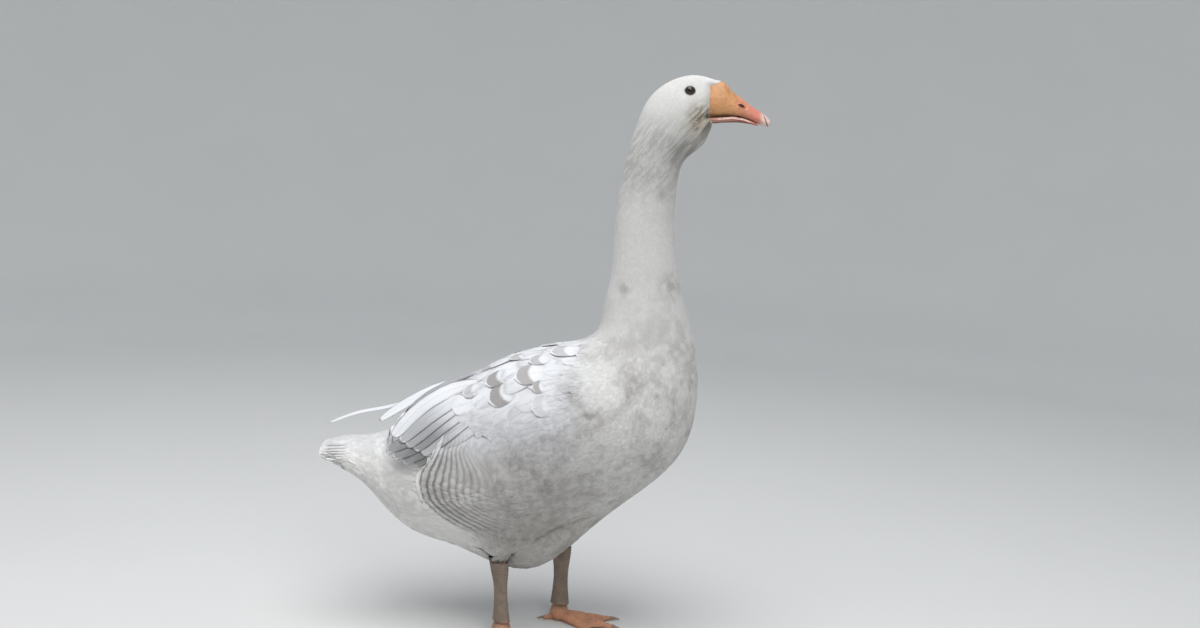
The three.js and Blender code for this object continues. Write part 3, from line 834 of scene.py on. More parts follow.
class Shader:
    """A node material, built by short calls that return sockets."""

    def __init__(self, name, roughness=0.7, **constants):
        self.material = bpy.data.materials.new(name)
        self.material.use_nodes = True
        self.tree = self.material.node_tree
        self.surface = self.tree.nodes["Principled BSDF"]
        self.surface.inputs["Roughness"].default_value = roughness
        for key, value in constants.items():
            self.surface.inputs[INPUTS[key]].default_value = value

    def put(self, socket, value):
        if isinstance(value, bpy.types.NodeSocket):
            self.tree.links.new(value, socket)
        elif isinstance(value, tuple) and len(value) == 3 and socket.type == "RGBA":
            socket.default_value = (*value, 1)
        else:
            socket.default_value = value

    def add(self, kind, inputs=(), output=0, **settings):
        node = self.tree.nodes.new("ShaderNode" + kind)
        for key, value in settings.items():
            setattr(node, key, value)
        for key, value in dict(inputs).items():
            self.put(node.inputs[key], value)
        return node.outputs[output]

    def attribute(self, name, output="Fac"):
        return self.add("Attribute", attribute_name=name, output=output)

    def parts(self, vector):
        """The three numbers of a vector or colour."""
        node = self.tree.nodes.new("ShaderNodeSeparateXYZ")
        self.put(node.inputs[0], vector)
        return node.outputs[0], node.outputs[1], node.outputs[2]

    def math(self, operation, a, b=0.0, c=0.0):
        return self.add("Math", {0: a, 1: b, 2: c}, operation=operation)

    def times(self, a, b):
        return self.math("MULTIPLY", a, b)

    def times_plus(self, a, b, c):
        return self.math("MULTIPLY_ADD", a, b, c)

    def mix(self, share, a, b):
        return self.add("Mix", {0: share, 6: a, 7: b}, output=2, data_type="RGBA")

    def place(self):
        """The place on the piece, in metres."""
        return self.add("TexCoord", output="Object")

    def noise(self, scale, vector=None, detail=3.0, roughness=0.55):
        inputs = {"Scale": scale, "Detail": detail, "Roughness": roughness}
        inputs["Vector"] = self.place() if vector is None else vector
        return self.add("TexNoise", inputs)

    def cells(self, scale):
        inputs = {"Scale": scale, "Vector": self.place()}
        return self.add("TexVoronoi", inputs, feature="SMOOTH_F1")

    def step(self, value, low, high):
        """0 below low and 1 above high."""
        inputs = {"Value": value, "From Min": low, "From Max": high}
        return self.add("MapRange", inputs, interpolation_type="SMOOTHSTEP")

    def stretched(self, vector, scale):
        return self.add("Mapping", {"Vector": vector, "Scale": scale})

    def finish(self, colour, roughness=None, bumps=()):
        self.put(self.surface.inputs["Base Color"], colour)
        if roughness is not None:
            self.put(self.surface.inputs["Roughness"], roughness)
        normal = None
        for height, distance in bumps:
            inputs = {"Height": height, "Distance": distance}
            if normal is not None:
                inputs["Normal"] = normal
            normal = self.add("Bump", inputs)
        if normal is not None:
            self.put(self.surface.inputs["Normal"], normal)
        return self.material


SOFT = {"subsurface": 0.35, "subsurface_scale": 3 * MM, "subsurface_radius": (1.0, 1.0, 1.0)}


def marked_colour(shader):
    """The body's colours from the masks and bars that skin and coat both carry."""
    taupe, cream, shade_and_stain = shader.parts(shader.attribute("mark", "Color"))
    colour = shader.mix(shader.attribute("mark", "Alpha"), WHITE, COOL_WHITE)
    colour = shader.mix(shader.times(shader.noise(260.0, detail=2.0), 0.07), colour, SPECK)
    colour = shader.mix(taupe, colour, TAUPE)
    colour = shader.mix(cream, colour, CREAM)
    # Painted shade and stains from the third mask.
    colour = shader.mix(shade_and_stain, colour, SHADE_AND_STAIN)
    # Dark bars of the flank, and painted shadow in the slits of the tail.
    row = shader.times_plus(shader.noise(90.0), 0.45, shader.attribute("row"))
    part = shader.math("FRACT", row)
    dark = shader.times(shader.step(part, 0.0, 0.14), shader.step(part, 0.60, 0.38))
    dark = shader.times(dark, shader.attribute("row_share"))
    return shader.mix(shader.times(dark, 0.85), colour, BAR)


def ground_material():
    shader = Shader("plumage_ground", 0.85, sheen=0.1)
    down = shader.noise(900.0, detail=4.0)
    return shader.finish(marked_colour(shader), bumps=[(down, 0.6 * MM)])


def varied(shader, colour, seed, amount):
    """The colour made a little lighter or darker for each vane."""
    bright = shader.times_plus(seed, amount, 1 - amount / 2)
    return shader.add("VectorMath", {0: colour, "Scale": bright}, operation="SCALE")


def tuft_material():
    """Soft small feathers, a little darker at the root with painted shade, and finely streaked along the
    lock.
    """
    shader = Shader("plumage_tufts", 0.8, sheen=0.1, specular=0.25, **SOFT)
    vane = shader.attribute("vane", "Vector")
    _, along, seed = shader.parts(vane)
    root = shader.times(shader.step(along, 0.4, 0.0), 0.25)
    colour = varied(shader, shader.mix(root, marked_colour(shader), SHADOW_ROOT), seed, 0.10)
    streak = shader.noise(6.0, shader.stretched(vane, (5.0, 0.6, 40.0)))
    return shader.finish(colour, bumps=[(streak, 0.25 * MM)])


def vane_material(name, band, fringe, barbs=46.0, depth=0.35, shade=0.0, shaft_share=0.3):
    """Feathers with a shaft, slanting barbs, a band of taupe near the tip and a pale fringe, and painted
    shade at the root and between the barbs.

    band is where the taupe starts and ends on the way to the tip, fringe how pale the rim is,
    barbs how many lines there are and depth how deep in millimetres, and shade how grey the
    whole vane is."""
    shader = Shader(name, 0.7, sheen=0.08, specular=0.3, **SOFT)
    vane = shader.attribute("vane", "Vector")
    across, along, seed = shader.parts(vane)
    bar = shader.attribute("bar")
    wide = shader.math("ABSOLUTE", across)
    ragged = shader.noise(14.0, shader.stretched(vane, (1.0, 1.0, 37.0)))
    to_tip = shader.math("ADD", along, shader.times_plus(ragged, 0.10, -0.05))
    to_tip = shader.math("ADD", to_tip, shader.times(shader.times(wide, wide), 0.16))
    start, end = band
    inside = shader.step(to_tip, start, start + 0.3 * (end - start))
    inside = shader.times(inside, shader.step(to_tip, end, end - 0.04))
    colour = varied(shader, marked_colour(shader), seed, 0.08)
    colour = shader.mix(shader.times(shader.step(along, 0.5, 0.1), 0.2), colour, SHADOW_ROOT)
    grey = shader.times(shader.step(along, 0.2, 0.75), shade)
    colour = shader.mix(shader.times(grey, bar), colour, GREY_VANE)
    colour = shader.mix(shader.times(inside, shader.times(bar, 1 - shade)), colour, TAUPE)
    rim = shader.step(to_tip, end, end + 0.03)
    colour = shader.mix(shader.times(rim, fringe), colour, PALE_RIM)
    shaft = shader.step(wide, 0.045, 0.015)
    colour = shader.mix(shader.times(shaft, shaft_share), colour, SHAFT)
    slant = shader.times_plus(wide, -0.32, along)
    flat = shader.add("CombineXYZ", {0: slant, 1: shader.times(across, 0.04), 2: seed})
    comb = shader.noise(barbs, flat, detail=4.0, roughness=0.7)
    # Fine dark lines between the barbs: painted shade.
    colour = shader.mix(shader.times(shader.step(comb, 0.55, 0.75), 0.10), colour, SHADE_AND_STAIN)
    bumps = [(comb, depth * MM)]
    if shaft_share:
        bumps.append((shaft, 0.3 * MM))
    return shader.finish(colour, bumps=bumps)


# ---- Coat of small feathers ----

HOCK_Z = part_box("shank_right")[1][2]
HOCK_X = sum(corner[0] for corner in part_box("thigh_right")) / 2
HOCK_Y = -sum(corner[1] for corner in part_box("shank_right")) / 2
TOE_JOINT_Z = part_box("shank_right")[0][2]
TAIL_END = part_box("tail")[0][0]


def coat_value(values, rows):
    return np.interp(at_of(rows), COAT_AT, values)


def lie(rows, columns, turn):
    """The way of the coat: towards the tail, turned towards the belly by an angle in degrees."""
    tailward = unit(dressed.read(dressed.along, rows, columns))
    normal = dressed.read(dressed.normals, rows, columns)
    down = unit(np.cross(tailward, normal)) * -side_of(columns)[:, None]
    turn = np.radians(turn)[:, None]
    return tailward * np.cos(turn) + down * np.sin(turn)


def body_turn(rows, columns):
    at, angle = at_of(rows), angle_of(columns)
    side = ease(angle, 10, 60) * ease(angle, 170, 120)
    neck = -36 * ease(at, 2.6, 3.4) * ease(at, 6.2, 4.8)
    cheek = 26 * ease(at, 2.4, 0.5) + 20 * ease(at, 1.6, 0.9) * ease(angle, 85, 110)
    flank = 14 * ease(at, 8.5, 10.5) * ease(at, 13.5, 12.0)
    return (neck + cheek + flank) * side


EYE_LOW, EYE_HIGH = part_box("eye_right")
EYE = {
    "x": (EYE_LOW[0] + EYE_HIGH[0]) / 2,
    "y": -(EYE_LOW[1] + EYE_HIGH[1]) / 2,
    "z": (EYE_LOW[2] + EYE_HIGH[2]) / 2,
    "radius": (EYE_HIGH[0] - EYE_LOW[0]) / 2,
}
BALL_SHARE = 0.86  # how big the ball is of its solid, whose front it keeps, so that the lids close over it
OPENING = {"wide": 6.0 * MM, "tall": 5.0 * MM, "over": 0.4 * MM}  # of the lids, over the eye's centre


def eye_share(points):
    """How far a place on the head is from the eye's middle, where 1 is the edge of the lids."""
    dx = (points[..., 0] - EYE["x"]) / OPENING["wide"]
    dz = (points[..., 2] - EYE["z"] - OPENING["over"]) / OPENING["tall"]
    share = np.hypot(dx, dz)
    return np.where(np.abs(points[..., 1]) > EYE["y"] / 2, share, 9.0)


TUFT = lock_template(
    (
        (0.0, 0.0, 0.1, 1.0, 0.5),
        (0.0, -0.5, -1.0, 0.88, 0.42),
        (0.0, 0.5, 0.9, 0.82, 0.42),
    )
)
SMALL_VANE = feather_template(
    (0.0, 0.35, 0.7, 0.9, 1.0),
    (-1, -0.4, 0.4, 1),
    rounded_vane(0.6, 0.3, 0.42, 2.6),
    0.05,
)
FINE_END = 7.0  # place along SECTIONS where tufts give way to small vanes


def lay_stretches(stretches, template, rows, columns, ways, shape, material, marks=None, bars=None):
    """Makes a piece of the coat for each stretch of the body: its name, slot and ends."""
    at = at_of(rows)
    for name, slot, first, last in stretches:
        here = (at >= first) & (at < last)
        part = {key: value[here] if np.ndim(value) else value for key, value in shape.items()}
        coat = Coat(name, slot)
        part_marks = None if marks is None else marks[here]
        part_bars = 0.0 if bars is None else bars[here]
        coat.lay(template, rows[here], columns[here], ways[here], part, part_marks, part_bars)
        coat.make(material)


FINE_COAT = (  # name, slot, and where it starts and ends along SECTIONS
    ("coat_head", "white_plumage", -1, 2.1),
    ("coat_throat", "white_plumage", 2.1, 3.6),
    ("coat_neck", "white_plumage", 3.6, 5.2),
    ("coat_neck_foot", "white_plumage", 5.2, 9),
)
EYE_GAP = 1.12  # how far tufts keep from the eye, where 1 is the edge of the lids
BILL_EDGE_TUFTS = 110  # in each of the two rows along the bill


def fine_coat():
    """Tufts over the head and neck, that lie in slanting furrows below the throat."""

    def wanted(rows, columns):
        free = eye_share(dressed.place(rows, columns)) > EYE_GAP
        return np.where(at_of(rows) > FINE_END + 0.4, 0.0, free * 1.0)

    rows, columns = scattered(lambda i, j: coat_value(TUFT_SPACING, i), wanted, seed=3)
    edge = np.arange(0, BODY_COLUMNS, BODY_COLUMNS / BILL_EDGE_TUFTS)
    rows = np.concatenate([rows, np.full(len(edge), 0.4), np.full(len(edge), 1.6)])
    columns = np.concatenate([columns, edge, edge + 0.5])
    points = dressed.place(rows, columns)
    ways = lie(rows, columns, body_turn(rows, columns))
    tips = points + ways * coat_value(TUFT_LENGTH, rows)[:, None]
    clear = (eye_share(tips) > EYE_GAP) & (eye_share((points + tips) / 2) > EYE_GAP)
    rows, columns = rows[clear], columns[clear]
    marks = markings(points[clear])
    ways = lie(rows, columns, body_turn(rows, columns) + rng.normal(0, 8, len(rows)))
    ruffle = ease(marks[:, 1], 0.05, 0.4)
    depth = coat_value(COAT_DEPTH, rows)
    jitter = rng.uniform(0.8, 1.2, len(rows))
    width = coat_value(TUFT_WIDTH, rows)
    shape = {
        "length": coat_value(TUFT_LENGTH, rows) * jitter,
        "half": width * rng.uniform(0.9, 1.35, len(rows)),
        "thick": width * 0.14,
        "low": -0.7 * depth,
        "high": -0.25 * depth + 0.9 * MM * ruffle * jitter,
        "dip": 0.25 * depth,
        "relief": 0.2 * depth,
    }
    lay_stretches(FINE_COAT, TUFT, rows, columns, ways, shape, MATERIALS["tufts"], marks=marks)


def side_places(rows, columns):
    points = dressed.place(rows, columns)
    return points[..., 0], points[..., 2], angle_of(columns)


def mantle_share(rows, columns):
    """1 over the wings and back, where the feathers are large, and 0 elsewhere."""
    x, z, angle = side_places(rows, columns)
    over = ease(over_wing_line(x, z), -0.004, 0.004) * (angle < 100) * (at_of(rows) > 7.5)
    rear = np.where(angle > 16, -0.070 - 0.3 * (z - 0.33), -0.15)
    return over * (x > rear)


CONTOUR_COAT = (
    ("coat_breast", "grey_plumage", 0, 9),
    ("coat_belly", "grey_plumage", 9, 11.6),
    ("coat_vent", "white_plumage", 11.6, 13.6),
    ("coat_rump", "white_plumage", 13.6, 17),
)
CONTOUR_AT = (6, 8, 10, 12, 14, 16)
CONTOUR_SPACING = np.array((4.0, 4.8, 6, 7, 7.5, 6)) * MM


def contour_spacing(rows, _):
    return np.interp(at_of(rows), CONTOUR_AT, CONTOUR_SPACING)


def contour_share(rows, columns):
    """1 where small vanes grow, and 0 where larger feathers, tufts or bare skin take over."""
    x, y, z = np.moveaxis(dressed.place(rows, columns), -1, 0)
    angle = angle_of(columns)
    flank = (x > border_x(z) - 4 * MM) & (x < -0.035) & (z > 0.15) & (angle < 150)
    flank &= over_wing_line(x, z) < 0
    blades = (dressed.read(over_wing, rows, columns) > 0.5) & (x < -0.05) & (angle > 8)
    blades &= dressed.read(dressed.normals, rows, columns)[..., 0] > -0.72
    rim = x < TAIL_END + 7.5 * MM
    hock = (z < HOCK_Z + 10 * MM) & (angle > 90)
    hock &= np.hypot(x - HOCK_X, np.abs(y) - HOCK_Y) < 20 * MM
    bare = (at_of(rows) < FINE_END) | flank | blades | rim | hock
    return np.where(bare, 0.0, 1 - mantle_share(rows, columns))


def contour_coat():
    """Small vanes over the breast, belly, vent and rump."""
    rows, columns = scattered(contour_spacing, contour_share, seed=5)
    ways = lie(rows, columns, body_turn(rows, columns) + rng.normal(0, 7, len(rows)))
    size = contour_spacing(rows, columns)
    depth = coat_value(COAT_DEPTH, rows)
    points = dressed.place(rows, columns)
    x = points[:, 0]
    to_end = (x - TAIL_END - 2 * MM) / np.maximum(-ways[:, 0], 0.3)
    length = size * 3.4 * rng.uniform(0.85, 1.15, len(rows))
    sink = -0.05 - 0.1 * ease(x, -0.12, -0.17)
    shape = {
        "length": np.minimum(length, np.maximum(to_end, 3 * MM)),
        "half": size * 1.15 * rng.uniform(0.85, 1.15, len(rows)),
        "thick": size * 0.045,
        "low": -0.55 * depth,
        "high": sink * depth + rng.normal(0, 0.07 * MM, len(rows)),
        "camber": 0.05,
        "dip": 0.55 * MM,
        "bend": rng.normal(0, 1, len(rows)) * size * 0.25,
    }
    bars = 0.30 * markings(points)[:, 0]
    material = MATERIALS["contour"]
    lay_stretches(CONTOUR_COAT, SMALL_VANE, rows, columns, ways, shape, material, bars=bars)


# ---- Wings and back ----

# Scapular feathers with a taupe band: the x and z of the tip, the width of the feather in
# millimetres, and how strong the band is. Others between them are plain white.
BANDED = (
    (-0.061, 0.365, 32, 0.85),
    (-0.053, 0.345, 34, 0.85),
    (-0.020, 0.374, 36, 0.75),
    (-0.006, 0.396, 26, 0.60),
    (0.024, 0.410, 32, 0.55),
    (-0.034, 0.394, 26, 0.60),
    (-0.078, 0.380, 30, 0.60),
    (-0.095, 0.349, 26, 0.50),
    (0.001, 0.365, 20, 0.75),
    (0.004, 0.338, 30, 0.30),
    (-0.112, 0.357, 26, 0.50),
)
SCAPULAR = feather_template(
    (0.0, 0.2, 0.4, 0.55, 0.7, 0.82, 0.91, 0.97, 1.0),
    (-1, -0.72, -0.4, -0.12, 0.12, 0.4, 0.72, 1),
    rounded_vane(0.6, 0.35, 0.16, 2.2),
    0.03,
)


def side_tree(side):
    """A search tree over one side of the dressed body as seen from there, with its places."""
    turn = (np.arange(BODY_COLUMNS) / BODY_COLUMNS * 360 * side) % 360
    seen = (dressed.normals[..., 1] * side > 0.02) & (turn > 1) & (turn < 179)
    return point_tree(dressed.points[seen] * [1, 0, 1]), *np.nonzero(seen)


SIDE_TREES = {side: side_tree(side) for side in SIDES.values()}


def beside(x, z, side):
    """The rows and columns of the dressed form at places seen from one side."""
    tree, known_rows, known_columns = SIDE_TREES[side]
    nearest = [tree.find(Vector((a, 0, b)))[1] for a, b in zip(x, z)]
    rows, columns = known_rows[nearest].astype(float), known_columns[nearest].astype(float)
    for _ in range(2):
        place = dressed.place(rows, columns)
        a, b = dressed.read(dressed.along, rows, columns), dressed.read(dressed.across, rows, columns)
        gap_x, gap_z = x - place[:, 0], z - place[:, 2]
        spread = a[:, 0] * b[:, 2] - a[:, 2] * b[:, 0]
        spread = np.where(np.abs(spread) < 1e-9, 1e-9, spread)
        rows = rows + np.clip((gap_x * b[:, 2] - gap_z * b[:, 0]) / spread, -1.5, 1.5)
        columns = columns + np.clip((a[:, 0] * gap_z - a[:, 2] * gap_x) / spread, -1.5, 1.5)
    return np.clip(rows, 0, BODY_ROWS - 1), columns % BODY_COLUMNS


def backed_up(rows, columns, ways, length):
    """The roots of vanes whose tips are at the given places."""
    root_rows, root_columns = rows, columns
    for _ in range(4):
        more_rows, more_columns = dressed.steps(root_rows, root_columns, ways)
        root_rows = (root_rows + rows - more_rows * length) / 2
        root_columns = (root_columns + columns - more_columns * length) / 2
    return root_rows, root_columns


def mantle_ways(rows, columns):
    """Towards the tail, and a little down."""
    return lie(rows, columns, 4 + 10 * ease(angle_of(columns), 15, 60))


def banded_feathers(coat):
    """Lays the banded feathers of both sides; gives their roots and the right side's tips."""
    roots = []
    for side in SIDES.values():
        x, z, wide, bars = np.array(BANDED).T
        wide = wide * MM
        if side > 0:
            x, z = x + rng.normal(0, 5 * MM, len(x)), z + rng.normal(0, 3 * MM, len(x))
        else:
            tips = np.stack([x, z, wide], -1)
        rows, columns = beside(x, z, side)
        rows, columns = backed_up(rows, columns, mantle_ways(rows, columns), wide * 1.3)
        roots.append((rows, columns))
        shape = {
            "length": wide * 1.3,
            "half": wide / 2,
            "thick": 0.5 * MM,
            "low": -2.5 * MM,
            "high": 1.2 * MM,
            "camber": 0.05,
        }
        marks = np.tile((0.0, 0.0, 0.0, 1.0), (len(x), 1))
        coat.lay(SCAPULAR, rows, columns, mantle_ways(rows, columns), shape, marks, bars)
    return tuple(np.concatenate(values) for values in zip(*roots)), tips


def mantle_spacing(rows, columns):
    x, z, _ = side_places(rows, columns)
    inner = ease(over_wing_line(x, z), 0.0, 0.045)
    return (6 + 5 * inner + 10 * inner * ease(x, 0.06, -0.02)) * MM


def mantle():
    """Large rounded feathers over the wings and back, the banded ones first."""
    coat = Coat("scapulars", "white_plumage", patch=0.03)
    first, tips = banded_feathers(coat)
    rows, columns = scattered(mantle_spacing, mantle_share, seed=8, first=first)
    size = mantle_spacing(rows, columns)
    ways = lie(rows, columns, np.full(len(rows), 9.0))
    ends = dressed.place(rows, columns) + ways * (2.7 * size)[:, None]
    # On the right side, plain feathers that would end over a band are sunk under it.
    sunk = np.zeros(len(rows))
    for x, z, wide in tips:
        along, over = ends[:, 0] - x, ends[:, 2] - z
        hides = (np.abs(over) <= 0.45 * wide) & (along <= 0.1 * wide) & (along >= -0.5 * wide)
        sunk[hides & (side_of(columns) < 0)] = 1.3 * MM
    jitter = rng.uniform(0.9, 1.1, len(rows))
    shape = {
        "length": size * 2.7 * jitter,
        "half": size * 0.9 * jitter,
        "thick": 0.02 * size,
        "low": -0.13 * size - 0.3 * sunk,
        "high": 0.2 * MM - sunk + rng.uniform(-0.01, 0.01, len(rows)) * size,
        "dip": 0.03 * size,
        "camber": 0.06,
    }
    ways = lie(rows, columns, 9 + rng.normal(0, 4, len(rows)))
    bars = rng.choice([0.0, 0.0, 0.12], len(rows))
    coat.lay(SCAPULAR, rows, columns, ways, shape, bars=bars)
    coat.make(MATERIALS["scapular"])


def wing_sheet(side):
    """The outer face of a folded wing as a smooth sheet: y for places seen from the side."""
    tree = tree_of("wing_right")
    x, z = np.meshgrid(np.linspace(-0.19, 0.07, 40), np.linspace(0.27, 0.39, 24))
    places = np.stack([x.ravel(), np.full(x.size, -0.3), z.ravel()], -1)
    found = [tree.ray_cast(Vector(place), Vector((0, 1, 0)), 0.3)[0] for place in places]
    hits = np.array([tuple(hit) for hit in found if hit is not None])
    powers = [(i, j) for i in range(4) for j in range(4 - i)]

    def terms(px, pz):
        return np.stack([(px * 5) ** i * ((pz - 0.33) * 10) ** j for i, j in powers], -1)

    weights = np.linalg.lstsq(terms(hits[:, 0], hits[:, 2]), hits[:, 1], rcond=None)[0]
    return lambda px, pz: -side * (terms(px, pz) @ weights)


# The long feathers of a folded wing, from its upper edge to its lower one. Each is a path of
# (x, z) from root to tip, its half width, how deep it lies, and how grey it is.
BLADES = (
    (((-0.080, 0.364), (-0.118, 0.348), (-0.156, 0.322), (-0.189, 0.284)), 17, 0.0, 0.2),
    (((-0.060, 0.372), (-0.110, 0.338), (-0.148, 0.309), (-0.178, 0.280)), 14, 0.45, 0.7),
    (((-0.065, 0.360), (-0.108, 0.330), (-0.140, 0.303), (-0.168, 0.275)), 13, 0.9, 0.8),
    (((-0.065, 0.350), (-0.102, 0.322), (-0.132, 0.297), (-0.157, 0.271)), 12, 1.35, 0.9),
    (((-0.060, 0.340), (-0.096, 0.313), (-0.123, 0.289), (-0.146, 0.266)), 12, 1.8, 0.55),
    (((-0.050, 0.330), (-0.086, 0.304), (-0.112, 0.283), (-0.135, 0.262)), 12, 2.2, 0.35),
)
PRIMARIES = (
    (((-0.070, 0.350), (-0.120, 0.318), (-0.160, 0.288), (-0.196, 0.268)), 11, 2.6, 1.0),
    (((-0.070, 0.345), (-0.115, 0.310), (-0.152, 0.280), (-0.186, 0.260)), 11, 3.0, 1.0),
    (((-0.070, 0.338), (-0.110, 0.302), (-0.142, 0.274), (-0.172, 0.254)), 11, 3.4, 1.0),
    (((-0.065, 0.330), (-0.100, 0.296), (-0.130, 0.268), (-0.157, 0.250)), 11, 3.8, 1.0),
    (((-0.060, 0.320), (-0.092, 0.290), (-0.120, 0.264), (-0.143, 0.247)), 11, 4.2, 1.0),
)
BLADE = feather_template(
    (0.0, 0.15, 0.3, 0.42, 0.54, 0.64, 0.73, 0.81, 0.88, 0.93, 0.97, 1.0),
    (-1, -0.75, -0.45, -0.15, 0, 0.15, 0.45, 0.75, 1),
    rounded_vane(0.45, 0.45, 0.12, 2.6),
)


def long_feathers(coat, lines, normal_of, half, low, bars, thick=0.7 * MM, camber=0.12):
    """Long vanes along 3-D lines, (count, controls, 3), faced by a function of their places."""
    count, controls = lines.shape[:2]
    step = 0.02

    def points_at(at):
        return np.stack([curve(line, np.full(1, at))[0] for line in lines])

    def frame_at(f):
        at = f * (controls - 1)
        place = points_at(at)
        return place, normal_of(place), unit(points_at(at + step) - points_at(at - step))

    cell = np.arange(count)
    uv = np.stack([cell % 6, cell // 6], -1) / 6.0
    shape = {"half": half, "thick": thick, "low": low, "high": low, "camber": camber}
    coat.add(BLADE, frame_at, uv, shape, None, bars)


def wing(name, side):
    """The long feathers of a folded wing, laid in steps over its outer face."""
    sheet = wing_sheet(side)

    def normal_of(places):
        x, z = places[:, 0], places[:, 2]
        step = 4 * MM
        slope_x = (sheet(x + step, z) - sheet(x - step, z)) / (2 * step)
        slope_z = (sheet(x, z + step) - sheet(x, z - step)) / (2 * step)
        return unit(np.stack([-slope_x, np.ones_like(x), -slope_z], -1) * side)

    paths, half, depth, grey = (np.array(values) for values in zip(*BLADES, *PRIMARIES))
    x, z = paths[..., 0], paths[..., 1]
    lines = np.stack([x, sheet(x, z), z], -1)
    root_dip = np.array((3.5, 1.0, 0.2, 0)) * MM
    lines -= normal_of(lines.reshape(-1, 3)).reshape(lines.shape) * root_dip[:, None]
    coat = Coat("flight_feathers_" + name, "grey_plumage", patch=0.1, soft=False)
    low = -0.2 * MM - depth * MM
    long_feathers(coat, lines, normal_of, half * MM, low, grey, thick=0.4 * MM, camber=0.06)
    coat.make(MATERIALS["flight"])


# Loose feathers of the left wing, as in the solids: points from root to tip, the half width in
# millimetres, and how grey it is.
LOOSE = (
    (
        ((-0.088, 0.058, 0.350), (-0.140, 0.056, 0.336), (-0.188, 0.052, 0.310), (-0.226, 0.048, 0.282)),
        12,
        0.05,
    ),
    (
        ((-0.150, 0.056, 0.331), (-0.205, 0.066, 0.303), (-0.262, 0.074, 0.287), (-0.304, 0.074, 0.269)),
        4.5,
        0.0,
    ),
)


def facing(way):
    """A function that gives every place the same normal."""
    return lambda places: np.tile(unit(np.array(way)), (len(places), 1))


def loose_feathers():
    lines, half, grey = (np.array(values) for values in zip(*LOOSE))
    coat = Coat("loose_feathers", "white_plumage", patch=0.1, soft=False)
    long_feathers(coat, lines, facing((0.0, -0.4, 0.9)), half * MM, 0.0, grey)
    coat.make(MATERIALS["flight"])


TAIL_FEATHERS = 14
TAIL_SPREAD = math.radians(24)  # from the middle to the outermost
TAIL_LENGTH = 0.10
TAIL_TIP_X = TAIL_END - 3 * MM
TAIL_ROOT_Z = 0.238


def tail():
    """A fan of feathers, the middle one on top."""
    share = np.linspace(-1, 1, TAIL_FEATHERS)[:, None]
    f = np.array((0, 0.35, 0.7, 1.0))
    out = TAIL_LENGTH * (1 - 0.06 * share * share) * f
    turn = TAIL_SPREAD * share
    sag = 7 * MM * share * share
    x = TAIL_TIP_X + TAIL_LENGTH - out * np.cos(turn)
    y = 0.004 * share + out * np.sin(turn) * 0.95
    z = TAIL_ROOT_Z + 0.016 * f - 0.004 * f * f - sag * (0.4 + 0.6 * f)
    odd = np.arange(TAIL_FEATHERS) % 2
    heights = (1 - np.abs(share[:, 0])) * 4.5 * MM - odd * 0.3 * MM
    coat = Coat("tail_feathers", "white_plumage", patch=0.1, soft=False)
    lines = np.stack([x, y, z], -1)
    long_feathers(coat, lines, facing((0.0, 0.0, 1.0)), 10.5 * MM, heights, 0.0, camber=0.08)
    coat.make(MATERIALS["tail"])


# ---- Flanks ----

FLANK_ROWS = 12
FLANK_PITCH = 12 * MM  # from one feather of a row to the next
FLANK_LENGTH = 36 * MM
FLANK_VANE = feather_template(
    (0.0, 0.25, 0.45, 0.62, 0.76, 0.87, 0.95, 1.0),
    (-1, -0.66, -0.22, 0.22, 0.66, 1),
    rounded_vane(0.8, 0.5, 0.72, 5),
)


def flank_row(row, side):
    """The roots and ways of one row, whose tips follow the flank's rear edge."""
    path = curve(FLANK_BORDER, np.linspace(0, len(FLANK_BORDER) - 1, 200))
    path[:, 0] += FLANK_STEP * row * closer(path[:, 1]) + 2 * MM
    run = np.concatenate([[0], np.cumsum(np.linalg.norm(np.diff(path, axis=0), axis=1))])
    stops = np.arange(FLANK_PITCH * (0.3 + 0.5 * (row % 2)), run[-1], FLANK_PITCH)
    stops = stops + rng.normal(0, 0.8 * MM, len(stops))
    tangent = np.gradient(path, axis=0)
    out = np.stack([tangent[:, 1], -tangent[:, 0]], -1)
    out *= np.sign(-out[:, :1])
    x, z = (np.interp(stops, run, path[:, k]) for k in (0, 1))
    way_x, way_z = (np.interp(stops, run, out[:, k]) for k in (0, 1))
    ways = unit(np.stack([way_x - 0.002, np.zeros_like(x), way_z * 0.6], -1))
    return backed_up(*beside(x, z, side), ways, FLANK_LENGTH), ways


def flank():
    """Rows of broad feathers on each flank, which the bars of colour run over."""
    coat = Coat("flank_feathers", "grey_plumage", patch=0.02)
    for side in SIDES.values():
        for row in range(FLANK_ROWS):
            roots, ways = flank_row(row, side)
            count = len(ways)
            shape = {
                "length": FLANK_LENGTH,
                "half": 15 * MM * rng.uniform(0.9, 1.1, count),
                "thick": 0.3 * MM,
                "low": -2.4 * MM,
                "high": 0.3 * MM + rng.uniform(-0.05, 0.05, count) * MM,
                "camber": 0.03,
                "dip": 0.7 * MM,
                "tilt": 0.0,
            }
            coat.lay(FLANK_VANE, *roots, ways, shape)
    coat.make(MATERIALS["flank"])


# ---- Skin ----


def mesh_arrays(mesh):
    mesh.calc_loop_triangles()
    points = np.empty(len(mesh.vertices) * 3, np.float32)
    mesh.vertices.foreach_get("co", points)
    triangles = np.empty(len(mesh.loop_triangles) * 3, np.int32)
    mesh.loop_triangles.foreach_get("vertices", triangles)
    return points.reshape(-1, 3).astype(float), triangles.reshape(-1, 3)


def evaluated(piece):
    """The arrays of a piece with its modifiers applied; the piece itself is removed."""
    graph = bpy.context.evaluated_depsgraph_get()
    arrays = mesh_arrays(piece.evaluated_get(graph).data)
    bpy.data.objects.remove(piece)
    return arrays


def vertex_normals(points, triangles):
    a, b, c = (points[triangles[:, k]] for k in range(3))
    face = np.cross(b - a, c - a)
    total = np.zeros_like(points)
    for k in range(3):
        for axis in range(3):
            total[:, axis] += np.bincount(triangles[:, k], face[:, axis], len(points))
    return unit(total)


